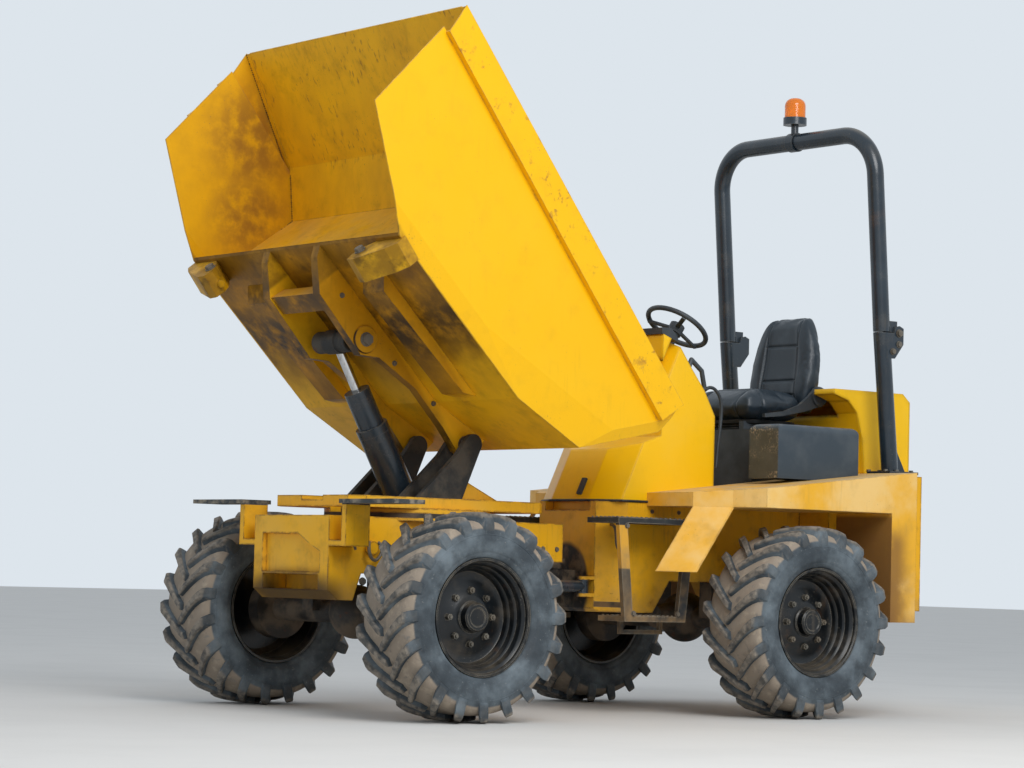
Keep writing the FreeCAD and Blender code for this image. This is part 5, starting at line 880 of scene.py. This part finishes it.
@dataclass
class Wheel:
    """A lugged traction tyre on a welded deep-dish wheel."""

    finishes: Finishes
    ring: Tree
    bars: int = 20
    sides: int = 96
    nuts: int = 8
    nut_circle: float = 0.137
    bar_slant: float = 0.31

    TYRE_FLANK = ((0.172, 0.2875), (0.172, 0.3020), (0.181, 0.3045), (0.192, 0.315), (0.199, 0.329), (0.2005, 0.333),
                  (0.2035, 0.335), (0.2075, 0.352), (0.2115, 0.372), (0.2135, 0.392), (0.2135, 0.408),
                  (0.2110, 0.4175), (0.2125, 0.4195), (0.2110, 0.4220), (0.206, 0.440), (0.197, 0.462),
                  (0.183, 0.480), (0.160, 0.4905), (0.120, 0.4975), (0.060, 0.5005))
    WHEEL_SECTION = ((0.172, 0.2875), (0.172, 0.3010), (0.186, 0.3012), (0.1862, 0.290), (0.180, 0.2845),
                     (0.166, 0.282), (0.156, 0.270), (0.150, 0.2655), (0.122, 0.262), (0.114, 0.2535), (0.108, 0.250),
                     (0.082, 0.247), (0.072, 0.238), (0.066, 0.235), (0.046, 0.233), (0.042, 0.226), (0.042, 0.187),
                     (0.078, 0.112), (0.082, 0.100), (0.082, 0.082), (0.088, 0.0755), (0.128, 0.0745),
                     (0.137, 0.066), (0.137, 0.050), (0.133, 0.046), (0.133, 0.001), (0.060, 0.001), (0.060, 0.0455),
                     (0.026, 0.0455), (0.026, 0.230), (0.006, 0.262), (-0.100, 0.264), (-0.150, 0.270),
                     (-0.166, 0.282), (-0.180, 0.2845), (-0.1862, 0.290), (-0.186, 0.3012), (-0.172, 0.3010),
                     (-0.172, 0.2875))
    # Stations of one tread bar from the middle of the tyre outwards and down its flank:
    # base x, base radius, top x, top radius, turn as a share of the slant, width
    BAR = ((-0.010, 0.497, -0.006, 0.5330, -0.02, 0.032), (0.010, 0.497, 0.010, 0.5350, 0.06, 0.034),
           (0.050, 0.496, 0.050, 0.5350, 0.27, 0.036), (0.095, 0.493, 0.095, 0.5350, 0.50, 0.040),
           (0.140, 0.486, 0.140, 0.5345, 0.72, 0.045), (0.175, 0.475, 0.178, 0.5320, 0.88, 0.050),
           (0.190, 0.460, 0.200, 0.5230, 0.97, 0.054), (0.199, 0.444, 0.211, 0.5010, 1.02, 0.055),
           (0.204, 0.430, 0.2145, 0.4720, 1.04, 0.052), (0.208, 0.418, 0.2145, 0.4420, 1.05, 0.046))

    def carcass(self) -> bpy.types.Object:
        """Make the tyre without its bars, closed round the beads."""
        flank = list(self.TYRE_FLANK)
        section = flank + [(0.0, 0.501)] + [(-x, r) for x, r in reversed(flank)]
        vertices, faces = turned(section, self.sides)
        piece = mesh_piece("carcass", vertices, faces, self.finishes.rubber, smooth=50)
        self.paint_rise(piece, lambda radius: 0.0 if radius > 0.455 else 0.6)
        return piece

    @staticmethod
    def paint_rise(piece: bpy.types.Object, rule: Callable[[float], float]) -> None:
        """Store how high the rubber stands at each vertex, from its distance to the axle."""
        rise = piece.data.attributes.new("rise", "FLOAT", "POINT")
        for vertex, value in zip(piece.data.vertices, rise.data):
            value.value = rule(math.hypot(vertex.co.y, vertex.co.z))

    def bar_pair(self) -> bpy.types.Object:
        """Make one bar on each side of the tread, half a pitch apart."""
        vertices, faces = [], []
        for side, phase in ((1, 0.0), (-1, 0.5)):
            first = len(vertices)
            for base_x, base_r, top_x, top_r, turn, width in self.BAR:
                middle = self.bar_slant * turn + 2 * math.pi * phase / self.bars
                half = width / 2
                for across, lift in ((-half - 0.007, 0.0), (-half - 0.001, 0.86), (-half + 0.005, 1.0),
                                     (half - 0.005, 1.0), (half + 0.001, 0.86), (half + 0.007, 0.0)):
                    x = base_x + (top_x - base_x) * lift
                    radius = base_r + (top_r - base_r) * lift
                    angle = middle + across / radius
                    vertices.append((side * x, -radius * math.sin(angle), -radius * math.cos(angle)))
            for station in range(len(self.BAR) - 1):
                for corner in range(6):
                    after = (corner + 1) % 6
                    low, high = first + station * 6, first + station * 6 + 6
                    faces.append([low + corner, low + after, high + after, high + corner])
            last = first + (len(self.BAR) - 1) * 6
            faces += [[first + corner for corner in range(6)], [last + corner for corner in range(6)]]
        piece = mesh_piece("bars", vertices, faces, self.finishes.rubber, smooth=30)
        self.paint_rise(piece, lambda radius: 1.0 if radius > 0.505 else 0.35)
        rise = piece.data.attributes["rise"]
        for vertex, value in zip(piece.data.vertices, rise.data):
            if abs(vertex.co.x) > 0.2105:
                value.value = 0.8
        return piece

    def nut(self) -> bpy.types.Object:
        """Make one wheel nut with its stud at the bottom of the nut circle."""
        vertices, faces = [], []
        for sides, radius, x0, x1 in ((6, 0.017, 0.060, 0.086), (10, 0.008, 0.086, 0.096)):
            first = len(vertices)
            for x in (x0, x1):
                for index in range(sides):
                    angle = 2 * math.pi * index / sides
                    vertices.append((x, radius * math.sin(angle), -self.nut_circle + radius * math.cos(angle)))
            for index in range(sides):
                after = (index + 1) % sides
                faces.append([first + index, first + after, first + sides + after, first + sides + index])
            faces += [[first + i for i in range(sides)], [first + sides + i for i in range(sides)]]
        return mesh_piece("nut", vertices, faces, self.finishes.zinc, smooth=20)

    def build(self) -> None:
        """Make one tyre and one wheel and fit them at the four hubs."""
        bars = self.ring.run(self.bar_pair(), Count=self.bars, Material=self.finishes.rubber)
        nuts = self.ring.run(self.nut(), Count=self.nuts, Material=self.finishes.zinc)
        vertices, faces = turned(self.WHEEL_SECTION, self.sides)
        dish = mesh_piece("dish", vertices, faces, self.finishes.wheel, smooth=30)
        tyre, wheel = joined([self.carcass(), bars]), joined([dish, nuts])
        for end in ("front", "rear"):
            for name, side in (("left", 1), ("right", -1)):
                body = f"wheel_{end}_{name}"
                centre = Vector(JOINTS[f"{body}_spin"]["pos_m"])
                for source, kind, slot in ((tyre, "tyre", Slot.TYRE), (wheel, "rim", Slot.GREY)):
                    piece = bpy.data.objects.new(f"{kind}_{end}_{name}_dressed", source.data.copy())
                    bpy.context.scene.collection.objects.link(piece)
                    if side < 0:
                        piece.data.transform(Matrix.Diagonal((-1, 1, 1, 1)))
                        piece.data.flip_normals()
                    piece.data.transform(Matrix.Translation(centre))
                    fit(piece, body, slot, f"{kind}_{end}_{name}")
        for source in (tyre, wheel):
            bpy.data.objects.remove(source)


def joined(pieces: Sequence[bpy.types.Object]) -> bpy.types.Object:
    """Join meshes into the first of them, keeping their materials and attributes."""
    bpy.ops.object.select_all(action="DESELECT")
    for piece in pieces:
        piece.select_set(True)
    bpy.context.view_layer.objects.active = pieces[0]
    bpy.ops.object.join()
    return pieces[0]


@dataclass
class Seat:
    """The driver's sprung seat: two covered pads, a recliner, a gaiter and its pan."""

    finishes: Finishes
    voxel: float = 0.006
    pressure: float = 4.0
    frames: int = 20
    lean: float = math.radians(5.0)

    def pad(self, name: str, size: Point, crown: Callable[[float, float], tuple[float, float, float]],
            place: Callable[[float, float, float], Vector]) -> bpy.types.Object:
        """Make a pad's starting form from two skins that meet at its edge.

        Args:
            name: The piece's name.
            size: Half width, half length and thickness.
            crown: For a place on the pad from -1 to 1 each way, its width factor, upper lift and lower lift.
            place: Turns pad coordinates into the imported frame.

        Returns:
            The closed pad.
        """
        steps = 30
        vertices, faces = [], []
        for skin in (0, 1):
            for i in range(steps + 1):
                for j in range(steps + 1):
                    u, v = 2 * i / steps - 1, 2 * j / steps - 1
                    wide, over, under = crown(u, v)
                    rim = max((1 - abs(u) ** 7) * (1 - abs(v) ** 7), 0.0) ** 0.42
                    lift = over * rim if skin == 0 else -under * rim
                    corner = 1 - 0.06 * (u * v) ** 4
                    vertices.append(place(u * size[0] * wide * corner, v * size[1] * corner, lift * size[2]))
        span = (steps + 1) ** 2
        for skin in (0, 1):
            for i in range(steps):
                for j in range(steps):
                    a = skin * span + i * (steps + 1) + j
                    faces.append([a, a + 1, a + steps + 2, a + steps + 1])
        return mesh_piece(name, vertices, faces, self.finishes.vinyl, smooth=180)

    def puff(self, pad: bpy.types.Object, cap: float) -> None:
        """Swell a pad's cover under pressure, with no point moved by more than the cap."""
        remesh = pad.modifiers.new("skin", "REMESH")
        remesh.mode = "VOXEL"
        remesh.voxel_size = self.voxel
        remesh.use_smooth_shade = True
        settled(pad)
        before = [vertex.co.copy() for vertex in pad.data.vertices]
        cloth = pad.modifiers.new("cover", "CLOTH")
        cloth.settings.use_pressure = True
        cloth.settings.uniform_pressure_force = self.pressure
        cloth.settings.effector_weights.gravity = 0
        cloth.settings.quality = 4
        cloth.settings.tension_stiffness = cloth.settings.compression_stiffness = 60
        cloth.settings.bending_stiffness = 12
        cloth.collision_settings.use_collision = False
        cloth.point_cache.frame_start = 1
        cloth.point_cache.frame_end = self.frames
        for step in range(1, self.frames + 1):
            bpy.context.scene.frame_set(step)
        settled(pad)
        for vertex, start in zip(pad.data.vertices, before):
            moved = vertex.co - start
            if moved.length > cap:
                vertex.co = start + moved.normalized() * cap
        ironed = pad.modifiers.new("ironed", "SMOOTH")
        ironed.factor, ironed.iterations = 0.5, 14
        settled(pad)
        bpy.context.scene.frame_set(1)

    def sew(self, pad: bpy.types.Object, seams: Sequence[Callable[[Vector], float]], depth: float) -> None:
        """Pull the cover in along seams.

        Args:
            pad: The pad.
            seams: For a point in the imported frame, its distance from a seam.
            depth: How deep the seam sits.
        """
        half_width = 0.009
        smooth = pad.modifiers.new("smooth", "SUBSURF")
        smooth.levels = smooth.render_levels = 1
        settled(pad)
        normals = [vertex.normal.copy() for vertex in pad.data.vertices]
        for vertex, normal in zip(pad.data.vertices, normals):
            gap = min(abs(seam(vertex.co)) for seam in seams)
            vertex.co -= normal * depth * math.exp(-(gap / half_width) ** 2)
        pad.data.shade_smooth()

    def cushion(self) -> None:
        """The seat pad: raised bolsters at its sides and a rolled front edge."""
        low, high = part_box("seat_cushion")
        centre = (low + high) / 2

        def crown(u: float, v: float) -> tuple[float, float, float]:
            bolster = 0.12 * max(abs(u) - 0.55, 0) / 0.45
            front = -0.10 * max(-v - 0.6, 0) / 0.4
            return 1 - 0.04 * v, 0.54 + bolster + front, 0.42

        piece = self.pad("seat_cushion_cover", (0.266, 0.232, high.z - low.z), crown,
                         lambda x, y, z: centre + Vector((x, y - 0.01, z)))
        self.puff(piece, 0.022)
        self.sew(piece, [lambda p: abs(p.x) - 0.155, lambda p: p.y - (centre.y - 0.115),
                         lambda p: p.y - (centre.y + 0.06) if abs(p.x) < 0.155 else 1.0], 0.007)
        fit(piece, Body.REAR, Slot.VINYL, "seat_cushion")

    def backrest(self) -> None:
        """The back pad: wings that wrap forward, narrower at its top, with channels across."""
        low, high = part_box("seat_back")
        foot = Vector(((low.x + high.x) / 2, low.y + 0.012, low.z))
        up = Vector((0, math.sin(self.lean), math.cos(self.lean)))
        back = Vector((0, math.cos(self.lean), -math.sin(self.lean)))
        length = 0.64

        def crown(u: float, v: float) -> tuple[float, float, float]:
            wings = 0.62 * max(abs(u) - 0.45, 0) / 0.55 * (1 - 0.55 * max(v, 0))
            narrow = 1 - 0.34 * max(v + 0.05, 0) ** 1.8 - 0.16 * max(-v - 0.35, 0)
            lumbar = 0.08 * math.exp(-((v + 0.45) / 0.3) ** 2)
            return narrow, 0.36 + wings + lumbar, 0.42 - 0.34 * (u * u)

        def place(x: float, s: float, t: float) -> Vector:
            return foot + Vector((x, 0, 0)) + up * (length / 2 + s) + back * (0.062 - t)

        piece = self.pad("seat_back_cover", (0.268, length / 2 - 0.012, 0.125), crown, place)
        self.puff(piece, 0.022)

        def rise(point: Vector) -> float:
            return (point - foot).dot(up)

        def panel(point: Vector) -> bool:
            return abs(point.x) < 0.140 and (point - foot).dot(back) < 0.06

        def behind(point: Vector) -> bool:
            return (point - foot).dot(back) > 0.07

        self.sew(piece, [lambda p: 1.0 if behind(p) else abs(p.x) - 0.140 + 0.05 * (rise(p) - 0.3),
                         lambda p: rise(p) - 0.43 if panel(p) else 1.0, lambda p: rise(p) - 0.22 if panel(p) else 1.0,
                         lambda p: rise(p) - 0.13 if panel(p) else 1.0], 0.008)
        fit(piece, Body.REAR, Slot.VINYL, "seat_back")

    def gaiter(self) -> None:
        """The ribbed rubber skirt of the suspension, between pan and pedestal."""
        low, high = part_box("seat_cushion")
        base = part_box("seat_base")[1].z
        pedestal = base - 0.05
        centre = (low + high) / 2
        # rise above the pedestal, half width, half length
        rings = ((0.0, 0.190, 0.185), (0.008, 0.205, 0.198), (0.016, 0.190, 0.185), (0.024, 0.205, 0.198),
                 (0.032, 0.192, 0.186), (0.040, 0.226, 0.208), (0.056, 0.236, 0.214), (0.060, 0.220, 0.200))
        sides = 48
        vertices, faces = [], []
        for rise, wide, long in rings:
            for index in range(sides):
                angle = 2 * math.pi * index / sides
                cos, sin = math.cos(angle), math.sin(angle)
                vertices.append((centre.x + wide * math.copysign(abs(cos) ** 0.4, cos),
                                 centre.y + 0.01 + long * math.copysign(abs(sin) ** 0.4, sin), pedestal + rise))
        for level in range(len(rings) - 1):
            for index in range(sides):
                after = (index + 1) % sides
                faces.append([level * sides + index, level * sides + after, (level + 1) * sides + after,
                              (level + 1) * sides + index])
        faces += [list(range(sides)), [(len(rings) - 1) * sides + i for i in range(sides)]]
        fit(mesh_piece("seat_gaiter", vertices, faces, self.finishes.hose, smooth=40), Body.REAR, Slot.PLASTIC)

    def recliner(self) -> None:
        """The round recliner covers at both sides, with their arms to the pan."""
        for name, side in (("left", 1), ("right", -1)):
            profile = ((0.236, 0.001), (0.236, 0.052), (0.240, 0.060), (0.258, 0.062), (0.270, 0.056), (0.274, 0.044),
                       (0.270, 0.038), (0.271, 0.001))
            vertices, faces = turned(profile, 40)
            hub = mesh_piece(f"recliner_{name}", [at(side * (v.x + 0.036), 1.935 + v.y, 1.855 + v.z) for v in vertices], faces,
                             self.finishes.plastic)
            outline = ((1.90, 1.90), (1.975, 1.885), (1.95, 1.80), (1.82, 1.762), (1.64, 1.726), (1.50, 1.712),
                       (1.50, 1.734), (1.66, 1.756), (1.78, 1.80), (1.86, 1.86))
            count = len(outline)
            points = [at(side * x, y, z) for x in (0.272, 0.296) for y, z in outline]
            sides_of = [[i, (i + 1) % count, count + (i + 1) % count, count + i] for i in range(count)]
            arm = mesh_piece("arm", points, sides_of + [list(range(count)), [count + i for i in range(count)]],
                             self.finishes.plastic)
            fit(joined([hub, arm]), Body.REAR, Slot.PLASTIC)

    def build(self) -> None:
        """Make and fit the whole seat."""
        self.cushion()
        self.backrest()
        self.gaiter()
        self.recliner()


@dataclass
class Fasteners:
    """Bolt heads that show, body by body."""

    finishes: Finishes
    tree: Tree

    def table(self) -> dict[Body, list[tuple[Vector, Vector, float]]]:
        """Places, axes and head widths of the bolts on each body."""
        left, up = Vector((1, 0, 0)), Vector((0, 0, 1))
        bolts: dict[Body, list[tuple[Vector, Vector, float]]] = {body: [] for body in Body}
        for side in (1, -1):
            out = left * side
            bolts[Body.SKIP].append((on_skip(side * 0.71, 1.373, -0.245), SKIP_AHEAD, 0.050))
            bolts[Body.SKIP] += [(on_skip(side * 0.278, 0.830, -0.215), out, 0.062),
                                 (on_skip(side * 0.265, 0.0, 0.0), out, 0.075)]
            for ahead_of, above in ((1.10, -0.20), (0.62, -0.13), (0.30, -0.045)):
                bolts[Body.SKIP].append((on_skip(side * 0.265, ahead_of, above), out, 0.024))
            for y, z in ((2.06, 1.416), (2.15, 1.416), (2.27, 1.416)):
                for across in (0.735, 0.595):
                    bolts[Body.REAR].append((at(side * across, y, z), up, 0.026))
            for y, z in ((2.115, 2.12), (2.165, 2.165)):
                bolts[Body.REAR].append((at(side * 0.72, y, z), out, 0.034))
            bolts[Body.REAR].append((at(side * 0.72, 2.165, 2.23), out, 0.040))
            for y, z in ((0.19, 1.04), (0.63, 1.04), (0.25, 0.56), (0.57, 0.56)):
                bolts[Body.REAR].append((at(side * 0.62, y, z), out, 0.026))
            for y in (0.60, 0.80, 1.00):
                bolts[Body.REAR].append((at(side * 0.35, y, 1.13), out, 0.020))
            for y in (-0.28, -0.16, -0.05):
                bolts[Body.FRONT].append((at(side * (0.3 - y * 0.15), y, 0.90), out, 0.024))
            for y in (-1.38, -1.24):
                bolts[Body.FRONT].append((at(side * 0.35, y, 0.70), out, 0.034))
        return bolts

    def build(self) -> None:
        """Set each body's bolts in one mesh."""
        for body, rows in self.table().items():
            if not rows:
                continue
            mesh = bpy.data.meshes.new(f"bolts_{body.value}")
            mesh.from_pydata([tuple(place) for place, _, _ in rows], [], [])
            mesh.attributes.new("axis", "FLOAT_VECTOR", "POINT")
            mesh.attributes.new("size", "FLOAT", "POINT")
            for index, (_, direction, width) in enumerate(rows):
                mesh.attributes["axis"].data[index].vector = direction
                mesh.attributes["size"].data[index].value = width
            piece = bpy.data.objects.new(mesh.name, mesh)
            bpy.context.scene.collection.objects.link(piece)
            fit(self.tree.run(piece, Material=self.finishes.zinc), body, Slot.IRON)


@dataclass
class Skip:
    """What the skip's plates carry: weld beads along the seams."""

    finishes: Finishes
    tree: Tree

    def build(self) -> None:
        """Lay the beads where the plates meet and where the mouth's lip is welded."""
        self.close_ends()
        seams = (((-1.022, 2.128, 0.842), (-1.022, 1.462, 0.692)),
                 ((1.022, 2.128, 0.842), (1.022, 1.462, 0.692)),
                 ((-0.985, 1.425, 0.670), (-0.985, 1.206, 0.528), (-0.965, 1.225, -0.12)),
                 ((0.985, 1.425, 0.670), (0.985, 1.206, 0.528), (0.965, 1.225, -0.12)),
                 ((-0.95, 1.226, -0.135), (0.95, 1.226, -0.135)))
        vertices, edges = [], []
        for seam in seams:
            start = len(vertices)
            vertices += [tuple(on_skip(*point)) for point in seam]
            edges += [(start + i, start + i + 1) for i in range(len(seam) - 1)]
        mesh = bpy.data.meshes.new("skip_welds")
        mesh.from_pydata(vertices, edges, [])
        piece = bpy.data.objects.new("skip_welds", mesh)
        bpy.context.scene.collection.objects.link(piece)
        fit(self.tree.run(piece, Width=0.014, Material=self.finishes.weld), Body.SKIP, Slot.YELLOW)

    def close_ends(self) -> None:
        """Carry the front apron's ends out to the rim bands, which stand proud of the side walls."""
        line = ((2.132, 0.847), (1.461, 0.6985), (1.437, 0.6835))
        for name, side in (("left", 1), ("right", -1)):
            vertices = [on_skip(side * x, ahead, above - drop)
                        for x in (0.985, 1.0265) for ahead, above in line for drop in (0.0, 0.008)]
            faces = [(0, 1, 7, 6), (4, 5, 11, 10)]
            for start in (0, 2):
                for a, b in ((0, 1), (6, 7), (0, 6), (1, 7)):
                    faces.append((start + a, start + b, start + b + 2, start + a + 2))
            fit(mesh_piece(f"apron_end_{name}", vertices, faces, self.finishes.under), Body.SKIP, Slot.YELLOW)


@dataclass
class Footholds:
    """Grip studs on the four treads."""

    finishes: Finishes
    tree: Tree
    pitch: float = 0.035

    def build(self) -> None:
        """Cover each tread with rows of studs."""
        places = []
        for side in (1, -1):
            for x0, x1, y0, y1, z in ((0.37, 0.60, 0.15, 0.67, 1.085), (0.41, 0.60, 0.21, 0.61, 0.545)):
                for i in range(int((x1 - x0) / self.pitch) + 1):
                    for j in range(int((y1 - y0) / self.pitch) + 1):
                        places.append(tuple(at(side * (x0 + i * self.pitch), y0 + j * self.pitch, z)))
        mesh = bpy.data.meshes.new("step_studs")
        mesh.from_pydata(places, [], [])
        piece = bpy.data.objects.new("step_studs", mesh)
        bpy.context.scene.collection.objects.link(piece)
        fit(self.tree.run(piece, Width=0.015, Material=self.finishes.step), Body.REAR, Slot.OLD_YELLOW)


@dataclass
class Trim:
    """Bent bars, strips and small fittings."""

    finishes: Finishes

    def bar(self, name: str, body: Body, points: Sequence[Point], diameter: float, material: bpy.types.Material,
            slot: Slot) -> None:
        """Fit one bent bar."""
        fit(settled(swept(name, [at(*point) for point in points], diameter, material)), body, slot)

    def ram_eye(self) -> None:
        """The greased sleeve and collar at the top of the tipping ram."""
        profile = ((-0.150, 0.026), (-0.150, 0.056), (-0.146, 0.060), (-0.060, 0.060), (-0.056, 0.066), (0.056, 0.066),
                   (0.060, 0.060), (0.146, 0.060), (0.150, 0.056), (0.150, 0.026))
        vertices, faces = turned(profile, 40)
        sleeve = mesh_piece("ram_eye_sleeve", [RAM_EYE + v for v in vertices], faces, self.finishes.casting)
        fit(sleeve, Body.ROD, Slot.BLACK)
        disc = ((0.262, 0.001), (0.262, 0.074), (0.274, 0.074), (0.278, 0.070), (0.278, 0.001))
        vertices, faces = turned(disc, 40)
        for name, side in (("left", 1), ("right", -1)):
            boss = mesh_piece(f"pin_boss_{name}", [RAM_EYE + Vector((side * v.x, v.y, v.z)) for v in vertices], faces,
                              self.finishes.under)
            fit(boss, Body.SKIP, Slot.YELLOW)

    def seam_strip(self) -> None:
        """The rubber strip between the console's foot and the skirt, and the catch above it."""
        corners = [vertex.co.copy() for vertex in frame["nodes"]["console"].data.vertices]
        foot_z = min(corner.z for corner in corners)
        foot = [corner for corner in corners if corner.z < foot_z + 0.001]
        middle = sum(foot, Vector()) / len(foot)
        outer = outline_of([(corner.x, corner.y) for corner in foot])
        line = [Vector((x, y, foot_z + 0.004)) + (Vector((x, y, 0)) - Vector((middle.x, middle.y, 0))).normalized() * 0.004
                for x, y in outer]
        strip = joined([settled(swept(f"seam_strip_{index}", (start, end), 0.014, self.finishes.hose))
                        for index, (start, end) in enumerate(zip(line, line[1:] + line[:1]))])
        strip.name = "seam_strip"
        fit(strip, Body.REAR, Slot.PLASTIC)
        slope = Vector((0, 0.14, 0.30)).normalized()
        out = Vector((0, -0.30, 0.14)).normalized()
        middle = at(0.075, 0.28 + 0.14 * 0.27, 1.18 + 0.30 * 0.27)
        corners = [middle + Vector((x, 0, 0)) + slope * s + out * t
                   for x in (-0.017, 0.017) for s in (-0.05, 0.05) for t in (-0.004, 0.016)]
        quads = ((0, 1, 3, 2), (4, 6, 7, 5), (0, 4, 5, 1), (2, 3, 7, 6), (0, 2, 6, 4), (1, 5, 7, 3))
        fit(mesh_piece("console_catch", corners, quads, self.finishes.plastic), Body.REAR, Slot.PLASTIC)

    def build(self) -> None:
        """Make the lever, the rope hooks, the shackles and the seam strip."""
        self.ram_eye()
        self.seam_strip()
        black, rust = self.finishes.plastic, self.finishes.zinc
        self.bar("lever", Body.REAR, ((0.30, 0.985, 1.80), (0.30, 1.03, 1.86), (0.30, 1.10, 1.86), (0.30, 1.155, 1.79),
                                      (0.30, 1.15, 1.66), (0.30, 1.13, 1.52), (0.30, 1.12, 1.40)), 0.020, black, Slot.PLASTIC)
        for name, side in (("left", 1), ("right", -1)):
            self.bar(f"rope_hook_{name}", Body.REAR,
                     ((side * 0.30, 0.345, 1.05), (side * 0.345, 0.33, 1.045), (side * 0.37, 0.325, 1.00),
                      (side * 0.372, 0.325, 0.94), (side * 0.378, 0.34, 0.905), (side * 0.395, 0.365, 0.905),
                      (side * 0.402, 0.375, 0.935)), 0.018, rust, Slot.IRON)
            self.bar(f"shackle_{name}", Body.FRONT,
                     ((side * 0.372, -1.36, 0.905), (side * 0.388, -1.372, 0.895), (side * 0.394, -1.374, 0.850),
                      (side * 0.392, -1.350, 0.812), (side * 0.390, -1.318, 0.812), (side * 0.392, -1.290, 0.850),
                      (side * 0.388, -1.290, 0.895), (side * 0.372, -1.302, 0.905)), 0.018, rust, Slot.IRON)
            self.bar(f"lashing_hook_{name}", Body.FRONT,
                     ((side * 0.345, -1.462, 0.905), (side * 0.375, -1.462, 0.905), (side * 0.382, -1.462, 0.885),
                      (side * 0.380, -1.450, 0.865)), 0.014, rust, Slot.IRON)


class Studio:
    """Pale floor, soft light and the photograph's camera."""

    FOCAL_PIXELS = 2973.02
    PLACE = Vector((13.068203, -10.353087, 0.771092))
    YAW, PITCH, ROLL = 0.90797363, -0.06302665, 0.02672949
    SENSOR_MM, IMAGE_WIDTH = 36.0, 1024

    def camera(self) -> None:
        """Make the camera at the photograph's place."""
        yaw, pitch, roll = self.YAW, self.PITCH, self.ROLL
        back = Vector((math.sin(yaw) * math.cos(pitch), -math.cos(yaw) * math.cos(pitch), math.sin(pitch)))
        right = Vector((math.cos(yaw), math.sin(yaw), 0))
        up = back.cross(right)
        turned_right = right * math.cos(roll) + up * math.sin(roll)
        turned_up = up * math.cos(roll) - right * math.sin(roll)
        data = bpy.data.cameras.new("camera")
        data.sensor_width = self.SENSOR_MM
        data.lens = self.FOCAL_PIXELS * self.SENSOR_MM / self.IMAGE_WIDTH
        data.clip_end = 200
        camera = bpy.data.objects.new("camera", data)
        camera.matrix_world = Matrix.Translation(self.PLACE + ORIGIN) @ Matrix(
            (turned_right, turned_up, back)).transposed().to_4x4()
        bpy.context.scene.collection.objects.link(camera)
        bpy.context.scene.camera = camera

    def light(self) -> None:
        """An even pale sky with one broad soft lamp, as under thin cloud."""
        world = bpy.data.worlds.new("sky")
        bpy.context.scene.world = world
        world.use_nodes = True
        tree = world.node_tree
        tree.nodes.clear()
        path = add_node(tree, "ShaderNodeLightPath")
        direct = add_node(tree, "ShaderNodeMath", {0: path.outputs["Is Camera Ray"], 1: path.outputs["Is Glossy Ray"]},
                          operation="ADD", use_clamp=True)
        seen = add_node(tree, "ShaderNodeMath", {0: direct.outputs[0], 1: path.outputs["Is Transmission Ray"]},
                        operation="ADD", use_clamp=True)
        lit = add_node(tree, "ShaderNodeBackground", {"Color": linear("#E3EBF4"), "Strength": 0.70})
        shown = add_node(tree, "ShaderNodeBackground", {"Color": linear("#DDE5EC"), "Strength": 1.0})
        mix = add_node(tree, "ShaderNodeMixShader", {0: seen.outputs[0], 1: lit.outputs[0], 2: shown.outputs[0]})
        add_node(tree, "ShaderNodeOutputWorld", {"Surface": mix.outputs[0]})
        lamp = bpy.data.lights.new("softbox", "AREA")
        lamp.shape = "DISK"
        lamp.size = 7.0
        lamp.energy = 720
        holder = bpy.data.objects.new("softbox", lamp)
        holder.location = (9.0, -2.8, 7.5)
        holder.rotation_euler = (Vector((0, -0.3, 1.2)) - Vector(holder.location)).to_track_quat("-Z", "Y").to_euler()
        bpy.context.scene.collection.objects.link(holder)
        bpy.context.scene.view_settings.view_transform = "Standard"

    def floor(self) -> None:
        """A wide pale floor under the wheels."""
        reach = 60.0
        stone = Surface("pale_floor", "#D9D7D3", 0.9)
        stone.cover("#D5D3CF", stone.patches(900, 0.4, 0.7, seed=1.0))
        plane = mesh_piece("floor", ((-reach, -reach, 0), (reach, -reach, 0), (reach, reach, 0), (-reach, reach, 0)),
                           ((0, 1, 2, 3),), stone.done())

    def build(self) -> None:
        """Set up camera, light and floor."""
        self.camera()
        self.light()
        self.floor()


def main() -> None:
    """Build the machine's looks in order."""
    Studio().build()
    finishes = Finishes()
    finish_nodes(finishes)
    ring = ring_tree()
    Wheel(finishes, ring).build()
    Seat(finishes).build()
    Fasteners(finishes, bolt_tree()).build()
    Skip(finishes, bead_tree()).build()
    Footholds(finishes, stud_tree()).build()
    Trim(finishes).build()


if __name__ == "__main__":
    main()
